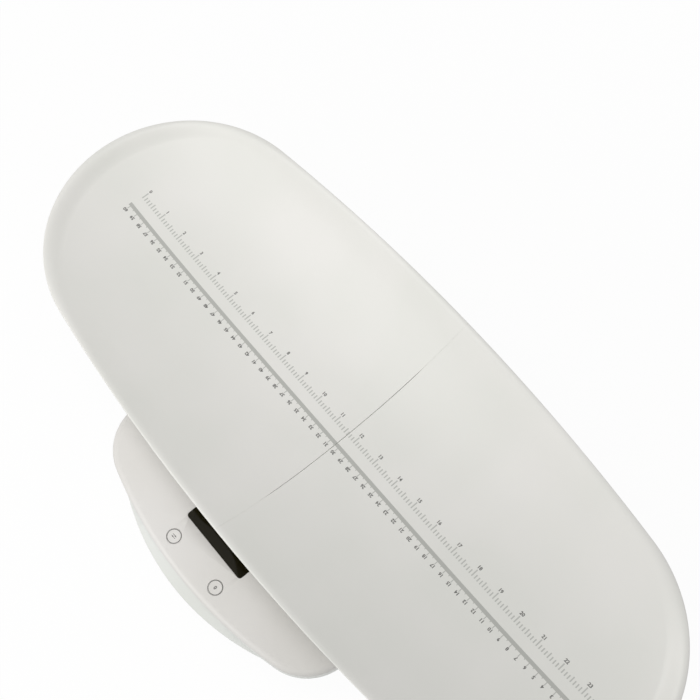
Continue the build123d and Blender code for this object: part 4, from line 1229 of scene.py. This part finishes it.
def battery(number):
    """One cell as turned bodies along X: dark jacket, coloured band, and metal ends. Cells with an even
    number point to the right. Each profile is a list of radii and distances from the negative end."""
    low, high = box_of(f"battery_{number}")
    middle = (low + high) / 2
    radius = (high[1] - low[1]) / 2
    axis = "+x" if number % 2 == 0 else "-x"
    length = high[0] - low[0]
    foot = (middle[0] - length / 2 if axis == "+x" else middle[0] + length / 2, middle[1], middle[2])
    shoulder = length - BUTTON_HEIGHT
    split = shoulder - BAND_LENGTH
    skin = [(0, 0.3), (radius - 1.4, 0.3), (radius - 1.1, 0.0), (radius - 0.5, 0.0), (radius, 0.5),
            (radius, split), (0, split)]
    band = [(0, split), (radius, split), (radius, shoulder - 0.5), (radius - 0.5, shoulder),
            (radius - 1.2, shoulder), (radius - 1.5, shoulder - 0.3), (0, shoulder - 0.3)]
    button = [(0, shoulder - 0.4), (2.6, shoulder - 0.3), (1.9, shoulder - 0.1), (1.9, length - 0.3),
              (1.6, length), (0, length)]
    plate = [(0, 0.05), (radius - 1.5, 0.05), (radius - 1.4, 0.35), (0, 0.35)]
    pieces = (("jacket", jacket, [skin]), ("band", jacket_band, [band]),
              ("ends", contact_nickel, [button, plate]))
    for label, material, profiles in pieces:
        stands_for = [f"battery_{number}"] if label == "jacket" else []
        part = add_mesh(f"battery_{number}_{label}", [turned(profile, foot, axis) for profile in profiles])
        finish_piece(part, material, "base", stands_for)


for number in BATTERIES:
    battery(number)
print("batteries:", len(BATTERIES))

# %% [markdown]
# ## The inner pieces
#
# Glass, board, chip, sockets and contacts are cut or moulded with square edges, and they are small and
# hidden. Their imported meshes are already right, so they stay as they are and only get a finish.

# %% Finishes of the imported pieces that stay
stays = {
    "display_gasket": pad_foam, "lcd_glass": display_glass, "lcd_backlight": light_guide,
    "lcd_connector_strip": contact_strip, "display_holder": nylon, "main_board": board_mask,
    "control_chip": chip_epoxy, "board_connectors": nylon, "unit_switch": chip_epoxy,
    "tare_switch": chip_epoxy, "battery_contacts": contact_nickel,
}
stays.update({f"strain_gauge_{corner}": gauge_sealant for corner in corners})
for node, material in stays.items():
    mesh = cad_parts[node].data
    mesh.materials.clear()
    mesh.materials.append(material)
shown = [name for name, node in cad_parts.items() if not node.hide_render]
print("packed pieces that show:", len(shown), "without a finish:", sorted(set(shown) - set(stays)))

# %% [markdown]
# ## Floor and light
#
# The scale stands on a plain pale floor that reads as white. For the camera, and for reflections, part
# of the floor's light is a fixed white, so it stays pale, while the rest is real light, so the shadow
# under the dish stays. The fixed part grows to the whole with distance, so the floor's edge doesn't
# show against the white behind it. For the soft light that falls on the scale the floor isn't there, so
# the sky lights the scale's underside through it, and from below the floor can be looked through.
#
# The light is plain and soft: an even sky, one large panel in front, which makes the far wall of the
# dish lighter than the near one, and a smaller one above the left end and a little in front of it.

# %% Floor
FLOOR_SIZE = 3000.0
FLOOR_DROP = 0.1              # below the soles, so that the two surfaces don't coincide
FLOOR_WHITE_SHARE = 0.95      # share of fixed white in what is seen of the floor near the scale
FLOOR_FADE = (300.0, 1200.0)  # distances between which that share grows to 1


def seen_directly(tree):
    """1 for rays from the camera, mirror reflections and clear parts, and 0 for diffuse light."""
    path = add_node(tree, "ShaderNodeLightPath").outputs
    seen = path["Is Camera Ray"]
    for kind in ("Is Glossy Ray", "Is Transmission Ray"):
        seen = add_node(tree, "ShaderNodeMath", {0: seen, 1: path[kind]}, operation="MAXIMUM").outputs[0]
    return seen


def mix_shaders(tree, share, first, second):
    """Mixes two shader nodes by a share of the second."""
    values = {0: share.outputs[0], 1: first.outputs[0], 2: second.outputs[0]}
    return add_node(tree, "ShaderNodeMixShader", values)


def make_floor():
    """A square floor, a mix of matt paint and fixed white whose share grows with the distance from the
    scale. It is clear from below, and for the light that surfaces gather diffusely."""
    half = FLOOR_SIZE / 2
    outline = np.array([[-half, -half], [half, -half], [half, half], [-half, half]])
    points = np.column_stack([outline, np.full(4, -FLOOR_DROP)])
    floor = add_mesh("floor", [(points, np.array([[0, 1, 2, 3]]))])
    material = bpy.data.materials.new("matt_floor_paint")
    material.use_nodes = True
    tree = material.node_tree
    tree.nodes.clear()
    place = add_node(tree, "ShaderNodeTexCoord").outputs["Object"]
    distance = add_node(tree, "ShaderNodeVectorMath", {0: place}, operation="LENGTH").outputs["Value"]
    near, far = FLOOR_FADE
    white_share = span(tree, distance, near * MM, far * MM, FLOOR_WHITE_SHARE, 1.0)
    share = add_node(tree, "ShaderNodeMath", {0: seen_directly(tree), 1: white_share}, operation="MULTIPLY")
    paint = add_node(tree, "ShaderNodeBsdfDiffuse", {"Color": colour("#F4F4F2")})
    white = add_node(tree, "ShaderNodeEmission", {"Color": colour("#FFFFFF"), "Strength": 1.0})
    seen_floor = mix_shaders(tree, share, paint, white)
    under = add_node(tree, "ShaderNodeNewGeometry").outputs["Backfacing"]
    bounced = add_node(tree, "ShaderNodeLightPath").outputs["Is Diffuse Ray"]
    absent = add_node(tree, "ShaderNodeMath", {0: under, 1: bounced}, operation="MAXIMUM")
    clear = add_node(tree, "ShaderNodeBsdfTransparent")
    one_sided = mix_shaders(tree, absent, seen_floor, clear)
    add_node(tree, "ShaderNodeOutputMaterial", {"Surface": one_sided.outputs[0]})
    floor.data.materials.append(material)
    print("floor", FLOOR_SIZE * MM, "m across, its fixed white whole beyond", far * MM, "m")


make_floor()

# %% Sky and lamps
SKY = 0.57                    # strength of the even light, where the white that is seen has 1
LAMP_COLOUR = (1.0, 0.99, 0.975)      # a little warm
LAMPS = {                     # place, width across, and power in watts
    "front_panel": ((-200.0, -1200.0, 500.0), 700.0, 4.3),
    "overhead_panel": ((-250.0, -150.0, 700.0), 500.0, 1.6),
}


def make_lamp(name, place, size, power):
    """A round soft panel that faces the floor under the middle of the scale, and isn't itself seen."""
    panel = bpy.data.lights.new(name, "AREA")
    panel.shape = "DISK"
    panel.size = size * MM
    panel.energy = power
    panel.color = LAMP_COLOUR
    lamp = bpy.data.objects.new(name, panel)
    lamp.location = Vector(place) * MM
    lamp.rotation_euler = (-lamp.location).to_track_quat("-Z", "Y").to_euler()
    lamp.visible_camera = False
    bpy.context.scene.collection.objects.link(lamp)


def make_sky():
    """A world that is white behind everything and gives a weaker, even light."""
    world = bpy.data.worlds.new("studio")
    bpy.context.scene.world = world
    world.use_nodes = True
    tree = world.node_tree
    tree.nodes.clear()
    strength = span(tree, seen_directly(tree), 0.0, 1.0, SKY, 1.0)
    sky = add_node(tree, "ShaderNodeBackground", {"Color": colour("#FFFFFF"), "Strength": strength})
    add_node(tree, "ShaderNodeOutputWorld", {"Surface": sky.outputs[0]})


make_sky()
for name, (place, size, power) in LAMPS.items():
    make_lamp(name, place, size, power)
bpy.context.scene.view_settings.view_transform = "Standard"
print("sky", SKY, "and panels", ", ".join(LAMPS))
